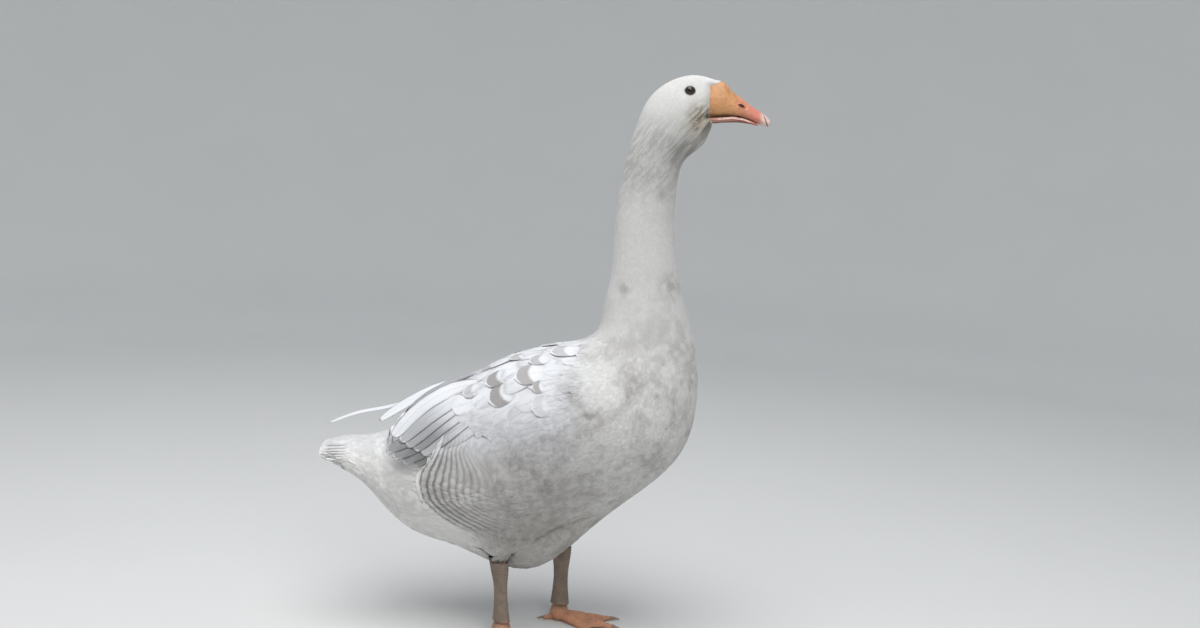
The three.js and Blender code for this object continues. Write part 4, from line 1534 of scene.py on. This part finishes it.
def evened(points, triangles, rounds, share=1.0):
    """The mesh with its facets smoothed away, keeping its size; share is how much of that to do."""
    here, there = np.concatenate([triangles[:, pair] for pair in ([0, 1], [1, 2], [2, 0])]).T
    count = np.bincount(here, minlength=len(points))[:, None]
    for index in range(rounds):
        total = np.stack([np.bincount(here, part[there], len(points)) for part in points.T], -1)
        pull = 0.6 if index % 2 == 0 else -0.61
        points = points + pull * share * (total / count - points)
    return points


def remeshed(names, voxel, rounds, drops=(0.0,)):
    """Arrays of one smooth closed mesh round the named solids, each also lowered by the drops."""
    points, triangles = [], []
    start = 0
    for name, drop in ((name, drop) for name in names for drop in drops):
        part_points, part_triangles = mesh_arrays(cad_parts[name].data)
        part_points = np.maximum(part_points - [0, 0, drop], [-9, -9, 0])
        points.append(part_points)
        triangles.append(part_triangles + start)
        start += len(part_points)
    piece = new_piece("rough", np.concatenate(points), np.concatenate(triangles))
    change = piece.modifiers.new("voxels", "REMESH")
    change.mode = "VOXEL"
    change.voxel_size = voxel
    points, triangles = evaluated(piece)
    return evened(points, triangles, rounds), triangles


LEG_VOXEL = 0.8 * MM
SCALE_SIZE = 2.0 * MM
WRINKLE_STEP = 4.2 * MM  # below the hock
CREASE_STEP = 3.6 * MM  # over the toes' roots


def cell_gaps(points, size, squash=(1.0, 1.0, 1.0)):
    """0 in the grooves between scales about size across, and up to 1 in their middles."""
    scaled = points / size * np.array(squash) + 500.0
    cell = np.floor(scaled).astype(np.int64)
    nearest = np.full(len(points), 9.0)
    second = np.full(len(points), 9.0)
    for offset in np.ndindex(3, 3, 3):
        corner = cell + np.array(offset) - 1
        seat = corner + np.stack([hashed(corner, seed) for seed in (21, 22, 23)], -1) * 0.9
        away = np.linalg.norm(scaled - seat, axis=-1)
        second = np.minimum(second, np.maximum(nearest, away))
        nearest = np.minimum(nearest, away)
    return ease(second - nearest, 0.0, 0.3)


def leg_scales(points):
    """0 in the grooves between the scales of a leg and up to 1 in their middles."""
    shank = cell_gaps(points, SCALE_SIZE, (0.85, 0.85, 1.2))
    foot = cell_gaps(points, SCALE_SIZE, (1.2, 0.8, 1.0))
    share = ease(points[:, 2], TOE_JOINT_Z - 4 * MM, TOE_JOINT_Z + 4 * MM)
    return shank * share + foot * (1 - share)


def leg(name):
    """Shank and foot with their scales and the wrinkles below the hock."""
    names = ("shank_" + name, "foot_" + name)
    points, triangles = remeshed(names, LEG_VOXEL, 10, drops=(0.0, LEG_VOXEL))
    points = evened(points, triangles, 60, bump(points[:, 2:] - TOE_JOINT_Z, 4 * MM))
    normals = vertex_normals(points, triangles)
    z = points[:, 2]
    wrinkles = np.sin(z / WRINKLE_STEP * 2 * math.pi + 2 * noise(points, 12 * MM, 7))
    wrinkles *= ease(z, 0.086, 0.10)
    creases = np.sin(z / CREASE_STEP * 2 * math.pi) * ease(z, 0.012, 0.018) * ease(z, 0.034, 0.026)
    relief = 0.38 * (leg_scales(points) - 0.6) + 0.5 * wrinkles + 0.3 * creases
    relief *= ease(z, 0.4 * MM, 2.5 * MM)
    return points + normals * (relief * MM)[:, None], triangles


def joined(base, others):
    """One closed mesh from several that overlap."""
    points, triangles = base
    piece = new_piece("union", points, triangles)
    parts = []
    for index, arrays in enumerate(others):
        part = new_piece("part_%d" % index, *arrays)
        change = piece.modifiers.new("join", "BOOLEAN")
        change.operation = "UNION"
        change.solver = "MANIFOLD"
        change.object = part
        parts.append(part)
    arrays = evaluated(piece)
    for part in parts:
        bpy.data.objects.remove(part)
    return arrays


def near_nodes(names, points, gap):
    """Which points are within a gap of the named solids."""
    tree = tree_of(*names)
    return np.array([tree.find_nearest(Vector(point), gap)[0] is not None for point in points])


LEG_NODES = ("shank_right", "shank_left", "foot_right", "foot_left")
THROAT_RECESS = 16 * MM  # how far in the skin closes behind the open bill
TAIL_BULGE = 8.5 * MM  # how far out it closes at the blunt end of the tail
SHANK_COLOURS = ((0.25, 0.195, 0.150), (0.18, 0.145, 0.115))
TOE_COLOURS = ((0.60, 0.29, 0.165), (0.49, 0.235, 0.145))
GROOVE_COLOUR = (0.13, 0.07, 0.05)
MUD = (0.13, 0.09, 0.06)


def skin():
    depth = coat_value(COAT_DEPTH, np.arange(BODY_ROWS))[:, None, None]
    points, triangles = tube_mesh((dressed.points - dressed.normals * depth)[::2, ::2])
    points[-2, 0] -= THROAT_RECESS
    points[-1, 0] -= TAIL_BULGE
    others = [leg(side) for side in SIDES]
    points, triangles = joined((points, outward(points, triangles)), others)
    piece = new_piece("goose_skin", points, triangles, MATERIALS["ground"], "white_plumage")
    mesh = piece.data
    points, triangles = mesh_arrays(mesh)
    row, row_share = bar_rows(points)
    set_attribute(piece, "mark", shaded(markings(points), points))
    set_attribute(piece, "row", row)
    set_attribute(piece, "row_share", row_share)
    low = points[:, 2] < HOCK_Z + 4 * MM
    bare = np.zeros(len(points), bool)
    bare[low] = near_nodes(LEG_NODES, points[low], 2.0 * MM)
    scales = np.ones(len(points))
    scales[bare] = leg_scales(points[bare])
    set_attribute(piece, "groove", scales)
    mesh.materials.append(MATERIALS["leg"])
    indices = bare[triangles].all(1).astype(np.int32)
    mesh.polygons.foreach_set("material_index", indices)
    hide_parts(*BODY_NODES, *LEG_NODES)
    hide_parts("wing_right", "wing_left", "thigh_right", "thigh_left")


def leg_material():
    """Grey-brown shanks and orange feet, with dark grooves and some mud."""
    shader = Shader("leg_skin", 0.55, specular=0.4)
    _, _, z = shader.parts(shader.place())
    blotch = shader.noise(60.0)
    shank = shader.mix(shader.step(blotch, 0.35, 0.7), *SHANK_COLOURS)
    toe = shader.mix(shader.step(blotch, 0.4, 0.7), *TOE_COLOURS)
    colour = shader.mix(shader.step(z, 0.030, 0.012), shank, toe)
    groove = shader.times(shader.step(shader.attribute("groove"), 0.6, 0.0), 0.5)
    colour = shader.mix(groove, colour, GROOVE_COLOUR)
    dirt = shader.step(shader.noise(35.0, detail=5.0, roughness=0.7), 0.5, 0.7)
    muddy = shader.times(dirt, shader.times_plus(shader.step(z, 0.045, 0.0), 0.35, 0.15))
    colour = shader.mix(muddy, colour, MUD)
    return shader.finish(colour, bumps=[(shader.cells(700.0), 0.25 * MM), (blotch, 0.4 * MM)])


# ---- Thighs ----

THIGH_SPACING = 1.7 * MM
THIGH_TOP = 22 * MM  # how high over the hock the tufts start
THIGH_REACH = 18 * MM  # how far from the middle of the shank they grow
LONG_TUFT = lock_template(
    (
        (0.0, 0.0, 0.15, 1.0, 0.38),
        (0.0, -0.4, -0.9, 0.9, 0.34),
        (0.0, 0.4, 0.8, 0.84, 0.34),
    )
)


def on_mesh(points, triangles, spacing, seed):
    """Places and normals spread over a mesh."""
    draw = np.random.default_rng(seed)
    a, b, c = (points[triangles[:, k]] for k in range(3))
    normals = np.cross(b - a, c - a)
    area = np.linalg.norm(normals, axis=1) / 2
    count = int(area.sum() / spacing**2 * 1.6)
    chosen = draw.choice(len(area), count, p=area / area.sum())
    share = draw.random((count, 2))
    share = np.where(share.sum(1, keepdims=True) > 1, 1 - share, share)
    places = a[chosen] + (b - a)[chosen] * share[:, :1] + (c - a)[chosen] * share[:, 1:]
    return places, unit(normals[chosen])


def thigh(name):
    """Long soft tufts that hang round the top of the shank, stained at their ends."""
    points, triangles = remeshed(("thigh_" + name,), 2.5 * MM, 8)
    places, normals = on_mesh(points, triangles, THIGH_SPACING, seed=31)
    trunk = tree_of("trunk")
    found = [trunk.find_nearest(Vector(place)) for place in places]
    outside = np.array([(Vector(p) - hit[0]).dot(hit[1]) > 0.5 * MM for p, hit in zip(places, found)])
    shank_low, shank_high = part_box("shank_" + name)
    away = np.hypot(*(places[:, k] - (shank_low[k] + shank_high[k]) / 2 for k in (0, 1)))
    outside &= (normals[:, 2] > -0.9) & (places[:, 2] < HOCK_Z + THIGH_TOP) & (away < THIGH_REACH)
    places, normals = places[outside], normals[outside]
    count = len(places)
    down = np.array([-0.15, 0.0, -1.0]) + rng.normal(0, 0.12, (count, 3))
    ways = unit(down - normals * (down * normals).sum(1, keepdims=True) + normals * 0.03)
    length = rng.uniform(11, 15, count) * MM
    low_end = ease(places[:, 2], HOCK_Z + 9 * MM, HOCK_Z + 3 * MM)
    length *= 1 - 0.45 * low_end
    marks = markings(places)
    marks[:, 0] *= ease(places[:, 2], HOCK_Z + 30 * MM, HOCK_Z + 50 * MM)
    marks[:, 1] = np.clip(marks[:, 1] + 0.4 * low_end, 0, 1)
    marks[:, 2] = np.clip(marks[:, 2] + 0.8 * low_end * rng.uniform(0.5, 1, count), 0, 1)
    shape = {
        "half": 3.0 * MM * rng.uniform(0.8, 1.2, count),
        "thick": 0.45 * MM,
        "low": -1.5 * MM,
        "high": 0.5 * MM,
        "dip": 0.8 * MM,
    }

    def frame_at(f):
        return places + ways * (length * f)[:, None], normals, ways

    uv = np.stack([(np.arctan2(normals[:, 1], normals[:, 0]) / (2 * math.pi)) % 1, places[:, 2] * 4], -1)
    coat = Coat("coat_thigh_" + name, "grey_plumage")
    coat.add(LONG_TUFT, frame_at, uv, shape, marks)
    coat.make(MATERIALS["tufts"])


# ---- Eyes ----


def eye_material():
    """A black pupil in a dark brown iris, darker again at its rim."""
    shader = Shader("eye_ball", 0.12, coat=0.4, coat_roughness=0.05, specular=0.3)
    from_axis = shader.attribute("ring")
    streaks = shader.noise(500.0)
    brown = shader.mix(streaks, (0.010, 0.006, 0.004), (0.028, 0.016, 0.009))
    colour = shader.mix(shader.step(from_axis, 0.36, 0.33), brown, (0.003, 0.003, 0.003))
    colour = shader.mix(shader.step(from_axis, 0.66, 0.80), colour, (0.012, 0.009, 0.008))
    return shader.finish(colour, bumps=[(streaks, 0.02 * MM)])


def lid_material():
    """Dark at the opening and as pale as the head round it."""
    shader = Shader("eye_lid", 0.6, specular=0.3)
    wrinkle = shader.noise(900.0)
    dark = shader.mix(wrinkle, (0.045, 0.030, 0.024), (0.11, 0.075, 0.06))
    outer = shader.step(shader.attribute("ring"), 0.30, 0.85)
    colour = shader.mix(outer, dark, (0.42, 0.40, 0.37))
    return shader.finish(colour, bumps=[(wrinkle, 0.25 * MM)])


BALL_RADIUS = EYE["radius"] * BALL_SHARE


def eye(name, side):
    """A glossy ball, and a thin lid over it from the head to the opening."""
    rings, around = 40, 64
    lean = np.linspace(0.02, math.pi - 0.02, rings)[:, None]
    turn = (np.arange(around) * 2 * math.pi / around)[None, :]
    flat = np.ones_like(turn)
    ball = np.stack([np.sin(lean) * np.cos(turn), np.cos(lean) * flat, np.sin(lean) * np.sin(turn)], -1)
    centre = np.array([EYE["x"], (EYE["y"] + EYE["radius"] - BALL_RADIUS) * side, EYE["z"]])
    points, triangles = tube_mesh(centre + ball * BALL_RADIUS)
    piece = new_piece("eyeball_" + name, points, outward(points, triangles), MATERIALS["eye"], "eye")
    off_axis = np.hypot(points[:, 0] - centre[0], points[:, 2] - centre[2])
    set_attribute(piece, "ring", off_axis / BALL_RADIUS)
    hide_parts("eye_" + name)
    lid(name, side, centre)


def lid(name, side, centre):
    """A closed ring whose outer face runs from the opening to the head."""
    around = 72
    turn = (np.arange(around) * 2 * math.pi / around)[None, :]
    share = np.linspace(0, 1, 12)[:, None]
    spread = 0.97 + 0.40 * share
    corner = 0.14 * bump(turn - math.pi, 0.35) * (1 - share)
    x = centre[0] + OPENING["wide"] * (spread + corner) * np.cos(turn)
    z = centre[2] + OPENING["over"] + OPENING["tall"] * (spread - 0.4 * corner) * np.sin(turn)
    inside = BALL_RADIUS**2 - (x - centre[0]) ** 2 - (z - centre[2]) ** 2
    ball = abs(centre[1]) + np.sqrt(np.maximum(inside, 0))
    head = dressed.place(*beside(x.ravel(), z.ravel(), side))[:, 1]
    over = np.maximum(ball + 0.4 * MM, np.abs(head).reshape(x.shape) - 0.1 * MM)
    over = over - 1.2 * MM * ease(share, 0.7, 1.0) - 1.2 * MM * bump(share, 0.09)
    outer = np.stack([x, over * side, z], -1)
    inner = outer - np.array([0, 1.0 * MM * side, 0]) * (0.4 + share[..., None])
    rings = np.concatenate([outer, inner[::-1]])
    triangles = grid_triangles(len(rings) + 1, around, wraps=True) % (len(rings) * around)
    points = rings.reshape(-1, 3)
    piece = new_piece("eyelid_" + name, points, outward(points, triangles), MATERIALS["lid"], "eye")
    shares = np.broadcast_to(share, x.shape)
    set_attribute(piece, "ring", np.concatenate([shares, shares[::-1]]))


# ---- Bill ----

NOSTRIL = {"x": 0.2625, "z": 0.7572, "half": 5.0 * MM, "tall": 2.1 * MM}
NOSTRIL_SLANT = math.radians(-22)
MOUTH_X = (0.220, 0.232, 0.252, 0.266, 0.280, 0.296)
MOUTH_Z = (0.7393, 0.7400, 0.7424, 0.7412, 0.7372, 0.7320)


def nostril_share(points):
    """How far a place is from the middle of a nostril's slot, where 1 is its edge."""
    dx, dz = points[:, 0] - NOSTRIL["x"], points[:, 2] - NOSTRIL["z"]
    along = dx * math.cos(NOSTRIL_SLANT) + dz * math.sin(NOSTRIL_SLANT)
    over = dz * math.cos(NOSTRIL_SLANT) - dx * math.sin(NOSTRIL_SLANT)
    return np.hypot(along / NOSTRIL["half"], over / NOSTRIL["tall"])


def over_mouth(points):
    """How high a place is over the line of the mouth."""
    return points[:, 2] - np.interp(points[:, 0], MOUTH_X, MOUTH_Z)


def upper_masks(points):
    """How pink, how dark and how pale each place of the upper bill is: the dark is painted shade in the
    nostrils and along the mouth's edge, and the seam of the nail; the pale is the tip and a painted
    highlight along the ridge.
    """
    x, y, z = points.T
    slot, over = nostril_share(points), over_mouth(points)
    pink = np.maximum(ease(x, 0.245, 0.285), 0.8 * ease(slot, 2.6, 1.1))
    # A painted highlight along the ridge.
    top = ease(np.abs(y), 4 * MM, 1 * MM) * ease(x, 0.245, 0.255)
    pale = np.maximum(ease(x, 0.286, 0.296), 0.55 * top)
    # Painted shadow along the mouth's edge.
    edge = ease(over, 0.7 * MM, -0.3 * MM) * ease(x, 0.292, 0.284)
    nail_line = (x - 0.2935) + 0.42 * (z - 0.748)
    seam = bump(nail_line + 0.2 * MM, 0.8 * MM) * ease(z, 0.748, 0.742)
    # Painted shade in the nostrils, with the mouth's edge and the nail's seam.
    return pink, np.maximum.reduce([ease(slot, 1.05, 0.75), edge, seam]), pale


def lower_masks(points):
    """The same for the lower bill, which has a pale strip under its dark edge, a painted shadow of the
    mouth's gap, and is darker along its groove and below it.
    """
    x, over = points[:, 0], over_mouth(points)
    strip = ease(over, -4.0 * MM, -3.4 * MM) * ease(over, -0.9 * MM, -1.5 * MM)
    strip *= ease(x, 0.279, 0.272) * ease(x, 0.226, 0.232)
    below = 0.72 * ease(over, -3.6 * MM, -4.4 * MM)
    groove = 0.75 * bump(over + 4.1 * MM, 0.5 * MM)
    # Dark at the top edge: painted shadow of the mouth's gap.
    dark = np.maximum.reduce([below, groove, ease(over, -1.4 * MM, -0.7 * MM)])
    pale = np.maximum(ease(x, 0.286, 0.296), 0.8 * strip)
    return np.maximum(ease(x, 0.245, 0.285), 0.8), dark, pale


ORANGE = ((0.56, 0.275, 0.118), (0.42, 0.205, 0.085))
PINK = (0.57, 0.195, 0.14)
FRECKLE = (0.26, 0.10, 0.04)
# Also the painted highlight along the ridge of the upper bill.
PALE_HORN_AND_HIGHLIGHT = (0.68, 0.50, 0.43)
# Also the painted shade in the nostrils and the mouth.
BILL_DARK = (0.018, 0.009, 0.007)


def bill_material():
    """Orange with freckles, pink towards the tip, and dark and pale where the masks say, which paint shade
    in the nostrils and mouth and a highlight along the ridge.
    """
    shader = Shader("bill_skin", 0.42, specular=0.45, subsurface=0.05, subsurface_scale=3 * MM)
    pink, dark, pale = shader.parts(shader.attribute("mark", "Color"))
    blotch = shader.noise(110.0, detail=4.0, roughness=0.6)
    speck = shader.noise(420.0, roughness=0.6)
    orange = shader.mix(shader.step(blotch, 0.40, 0.65), *ORANGE)
    colour = shader.mix(pink, orange, PINK)
    freckle = shader.times(shader.step(speck, 0.60, 0.70), shader.times_plus(pink, -0.45, 0.6))
    colour = shader.mix(freckle, colour, FRECKLE)
    colour = shader.mix(pale, colour, PALE_HORN_AND_HIGHLIGHT)
    colour = shader.mix(dark, colour, BILL_DARK)
    bumps = [(shader.cells(1500.0), 0.10 * MM), (blotch, 0.5 * MM), (speck, 0.25 * MM)]
    return shader.finish(colour, shader.times_plus(speck, 0.25, 0.30), bumps)


def horn_material(name, light, dark):
    """Nail and claws, with fine lines of growth."""
    shader = Shader(name, 0.38, specular=0.5)
    growth = shader.noise(1.0, shader.stretched(shader.place(), (300.0, 300.0, 900.0)), detail=4.0)
    return shader.finish(shader.mix(growth, light, dark), bumps=[(growth, 0.15 * MM)])


def upper_shape(points, normals, relief):
    """Moves the upper bill's points: nostrils, a raised edge and the seam of the nail."""
    x, y, z = points.T
    slot, over = nostril_share(points), over_mouth(points)
    side = ease(np.abs(y), 3 * MM, 6 * MM)
    relief -= 2.6 * ease(slot, 1.15, 0.6) * side
    relief += 0.5 * bump(slot - 1.5, 0.35) * side
    relief *= ease(x, 0.216, 0.221)
    relief -= 0.5 * ease(x, 0.2935, 0.297)
    relief += 0.35 * bump(over - 2.4 * MM, 1.2 * MM)
    mouth = z - over
    points += normals * (relief * MM)[:, None]
    points[:, 2] = np.maximum(points[:, 2], mouth - 0.1 * MM - 5 * MM * ease(points[:, 0], 0.288, 0.296))


def lower_shape(points, normals, relief):
    """Moves the lower bill's points: fine ridges, a groove and a flat crown in the mouth."""
    x, z = points[:, 0], points[:, 2]
    over = over_mouth(points)
    mouth, strip = z - over, over / MM
    relief += 0.12 * np.sin(x / (1.1 * MM) * 2 * math.pi) * ease(strip, -3.6, -2.6)
    relief -= 0.5 * bump(strip + 3.7, 0.5)
    points += normals * (relief * MM)[:, None]
    crown = ease(normals[:, 2], 0.3, 0.8) * ease(points[:, 0], 0.290, 0.284)
    points[:, 2] += (mouth - 0.2 * MM - points[:, 2]) * crown


HALVES = {"upper": (upper_shape, upper_masks), "lower": (lower_shape, lower_masks)}


def bill():
    """The upper and lower bill, with the unevenness of their skin."""
    for name, (shape, masks) in HALVES.items():
        form = BILL[name]
        points = form.points.reshape(-1, 3).copy()
        relief = 0.35 * (noise(points, 7 * MM, 8) - 0.5) + 0.25 * (noise(points, 2.5 * MM, 9) - 0.5)
        shape(points, form.normals.reshape(-1, 3), relief)
        points, triangles = tube_mesh(points.reshape(form.points.shape))
        triangles = outward(points, triangles)
        piece = new_piece("bill_%s_skin" % name, points, triangles, MATERIALS["bill"], "bill_skin")
        set_attribute(piece, "mark", np.stack([*masks(points), np.ones(len(points))], -1).clip(0, 1))
        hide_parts("bill_" + name)


def smooth_copy(node, name, material, slot, voxel=0.45 * MM, grow=0.0, stretch=1.0, heel=None):
    """The node's solid, smoothed; a claw is also stretched back into its toe from its tip."""
    points, triangles = remeshed((node,), voxel, 10)
    points = points + vertex_normals(points, triangles) * grow
    if heel is not None:
        way = unit(points.mean(0) - heel)
        along = points @ way
        points = points - (along.max() - along)[:, None] * (stretch - 1) * way
    piece = new_piece(name, points, triangles, material, slot)
    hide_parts(node)


def claws():
    for node in sorted(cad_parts):
        if "claw" in node:
            low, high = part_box("shank_" + ("right" if "right" in node else "left"))
            heel = np.array([(low[0] + high[0]) / 2, (low[1] + high[1]) / 2, 4 * MM])
            args = (MATERIALS["claw"], "claw", 0.5 * MM, 0.2 * MM, 1.6, heel)
            smooth_copy(node, node + "_horn", *args)


# ---- Floor, light and camera ----

BOWL = (  # the floor's profile: how far out and how high
    (0.5, 0.0),
    (1.5, 0.0),
    (2.4, 0.0),
    (2.9, 0.03),
    (3.5, 0.2),
    (4.1, 0.7),
    (4.5, 1.5),
    (4.6, 2.6),
    (4.6, 4.2),
)
FLOOR_COLOURS = ((0.66, 0.66, 0.65), (0.69, 0.69, 0.68))
SKY = (0.86, 0.92, 1.0)
SKY_STRENGTH = 0.5
LIGHTS = (  # name, place, target, size and power
    ("key", (-0.3, -0.9, 2.9), (0, 0, 0.35), 2.6, 72),
    ("fill", (0.7, -2.4, 2.2), (0, 0, 0.5), 1.6, 22),
)
CAMERA_PLACE = (0.085, -1.90, 0.70)
CAMERA_PITCH = 82.8  # degrees from straight down
CAMERA_ROLL = 3.0
CAMERA_LENS = 41.13


def floor():
    """A pale floor that curves up into a wall all round, so that no horizon shows."""
    shader = Shader("floor", 0.9)
    material = shader.finish(shader.mix(shader.noise(3.0, detail=2.0), *FLOOR_COLOURS))
    profile = curve(BOWL, np.linspace(0, len(BOWL) - 1, 60)).clip(0)
    turn = np.arange(128) * 2 * math.pi / 128
    way = np.stack([np.cos(turn), np.sin(turn), 0 * turn], -1)
    points = profile[:, None, :1] * way[None] + profile[:, None, 1:] * np.array([0, 0, 1.0])
    triangles = grid_triangles(len(profile), len(turn), wraps=True)[:, ::-1]
    here = np.arange(len(turn))
    middle = np.stack([np.full(len(turn), points[..., 0].size), here, np.roll(here, -1)], -1)
    points = np.concatenate([points.reshape(-1, 3), np.zeros((1, 3))])
    new_piece("floor", points, np.concatenate([triangles, middle]), material)


def area_light(name, place, target, size, power):
    lamp = bpy.data.lights.new(name, "AREA")
    lamp.shape = "DISK"
    lamp.size = size
    lamp.energy = power
    light = bpy.data.objects.new(name, lamp)
    bpy.context.scene.collection.objects.link(light)
    light.location = place
    light.rotation_mode = "QUATERNION"
    light.rotation_quaternion = (Vector(target) - Vector(place)).to_track_quat("-Z", "Y")


def lights():
    world = bpy.data.worlds.new("studio")
    world.use_nodes = True
    sky = world.node_tree.nodes["Background"]
    sky.inputs[0].default_value = (*SKY, 1)
    sky.inputs[1].default_value = SKY_STRENGTH
    bpy.context.scene.world = world
    bpy.context.scene.view_settings.view_transform = "Standard"
    for settings in LIGHTS:
        area_light(*settings)


def camera():
    data = bpy.data.cameras.new("camera")
    data.lens = CAMERA_LENS
    data.sensor_width = 36.0
    viewer = bpy.data.objects.new("camera", data)
    bpy.context.scene.collection.objects.link(viewer)
    tilt = Matrix.Rotation(math.radians(CAMERA_PITCH), 4, "X")
    roll = Matrix.Rotation(math.radians(CAMERA_ROLL), 4, "Z")
    viewer.matrix_world = Matrix.Translation(CAMERA_PLACE) @ tilt @ roll
    bpy.context.scene.camera = viewer


# ---- Making ----

MATERIALS = {
    "ground": ground_material(),
    "tufts": tuft_material(),
    "contour": vane_material("plumage_contour", (0.55, 0.95), 0.2, 30.0, 0.2, shaft_share=0.0),
    "scapular": vane_material("plumage_scapular", (0.56, 0.955), 0.4, shaft_share=0.12),
    "flank": vane_material("plumage_flank", (0.77, 0.945), 0.0, 40.0, 0.3, shaft_share=0.0),
    "flight": vane_material("plumage_flight", (0.5, 0.965), 0.7, 60.0, shade=0.85),
    "tail": vane_material("plumage_tail", (0.5, 0.9), 0.4, 60.0, 0.3),
    "leg": leg_material(),
    "eye": eye_material(),
    "lid": lid_material(),
    "bill": bill_material(),
    "nail": horn_material("bill_nail_horn", (0.70, 0.56, 0.47), (0.58, 0.44, 0.36)),
    "claw": horn_material("claw_horn", (0.36, 0.25, 0.18), (0.22, 0.15, 0.11)),
}

skin()
fine_coat()
contour_coat()
flank()
mantle()
for side_name, side_sign in SIDES.items():
    wing(side_name, side_sign)
    thigh(side_name)
    eye(side_name, side_sign)
loose_feathers()
tail()
bill()
smooth_copy("bill_nail", "nail", MATERIALS["nail"], "bill_nail", grow=0.15 * MM)
claws()
floor()
lights()
camera()
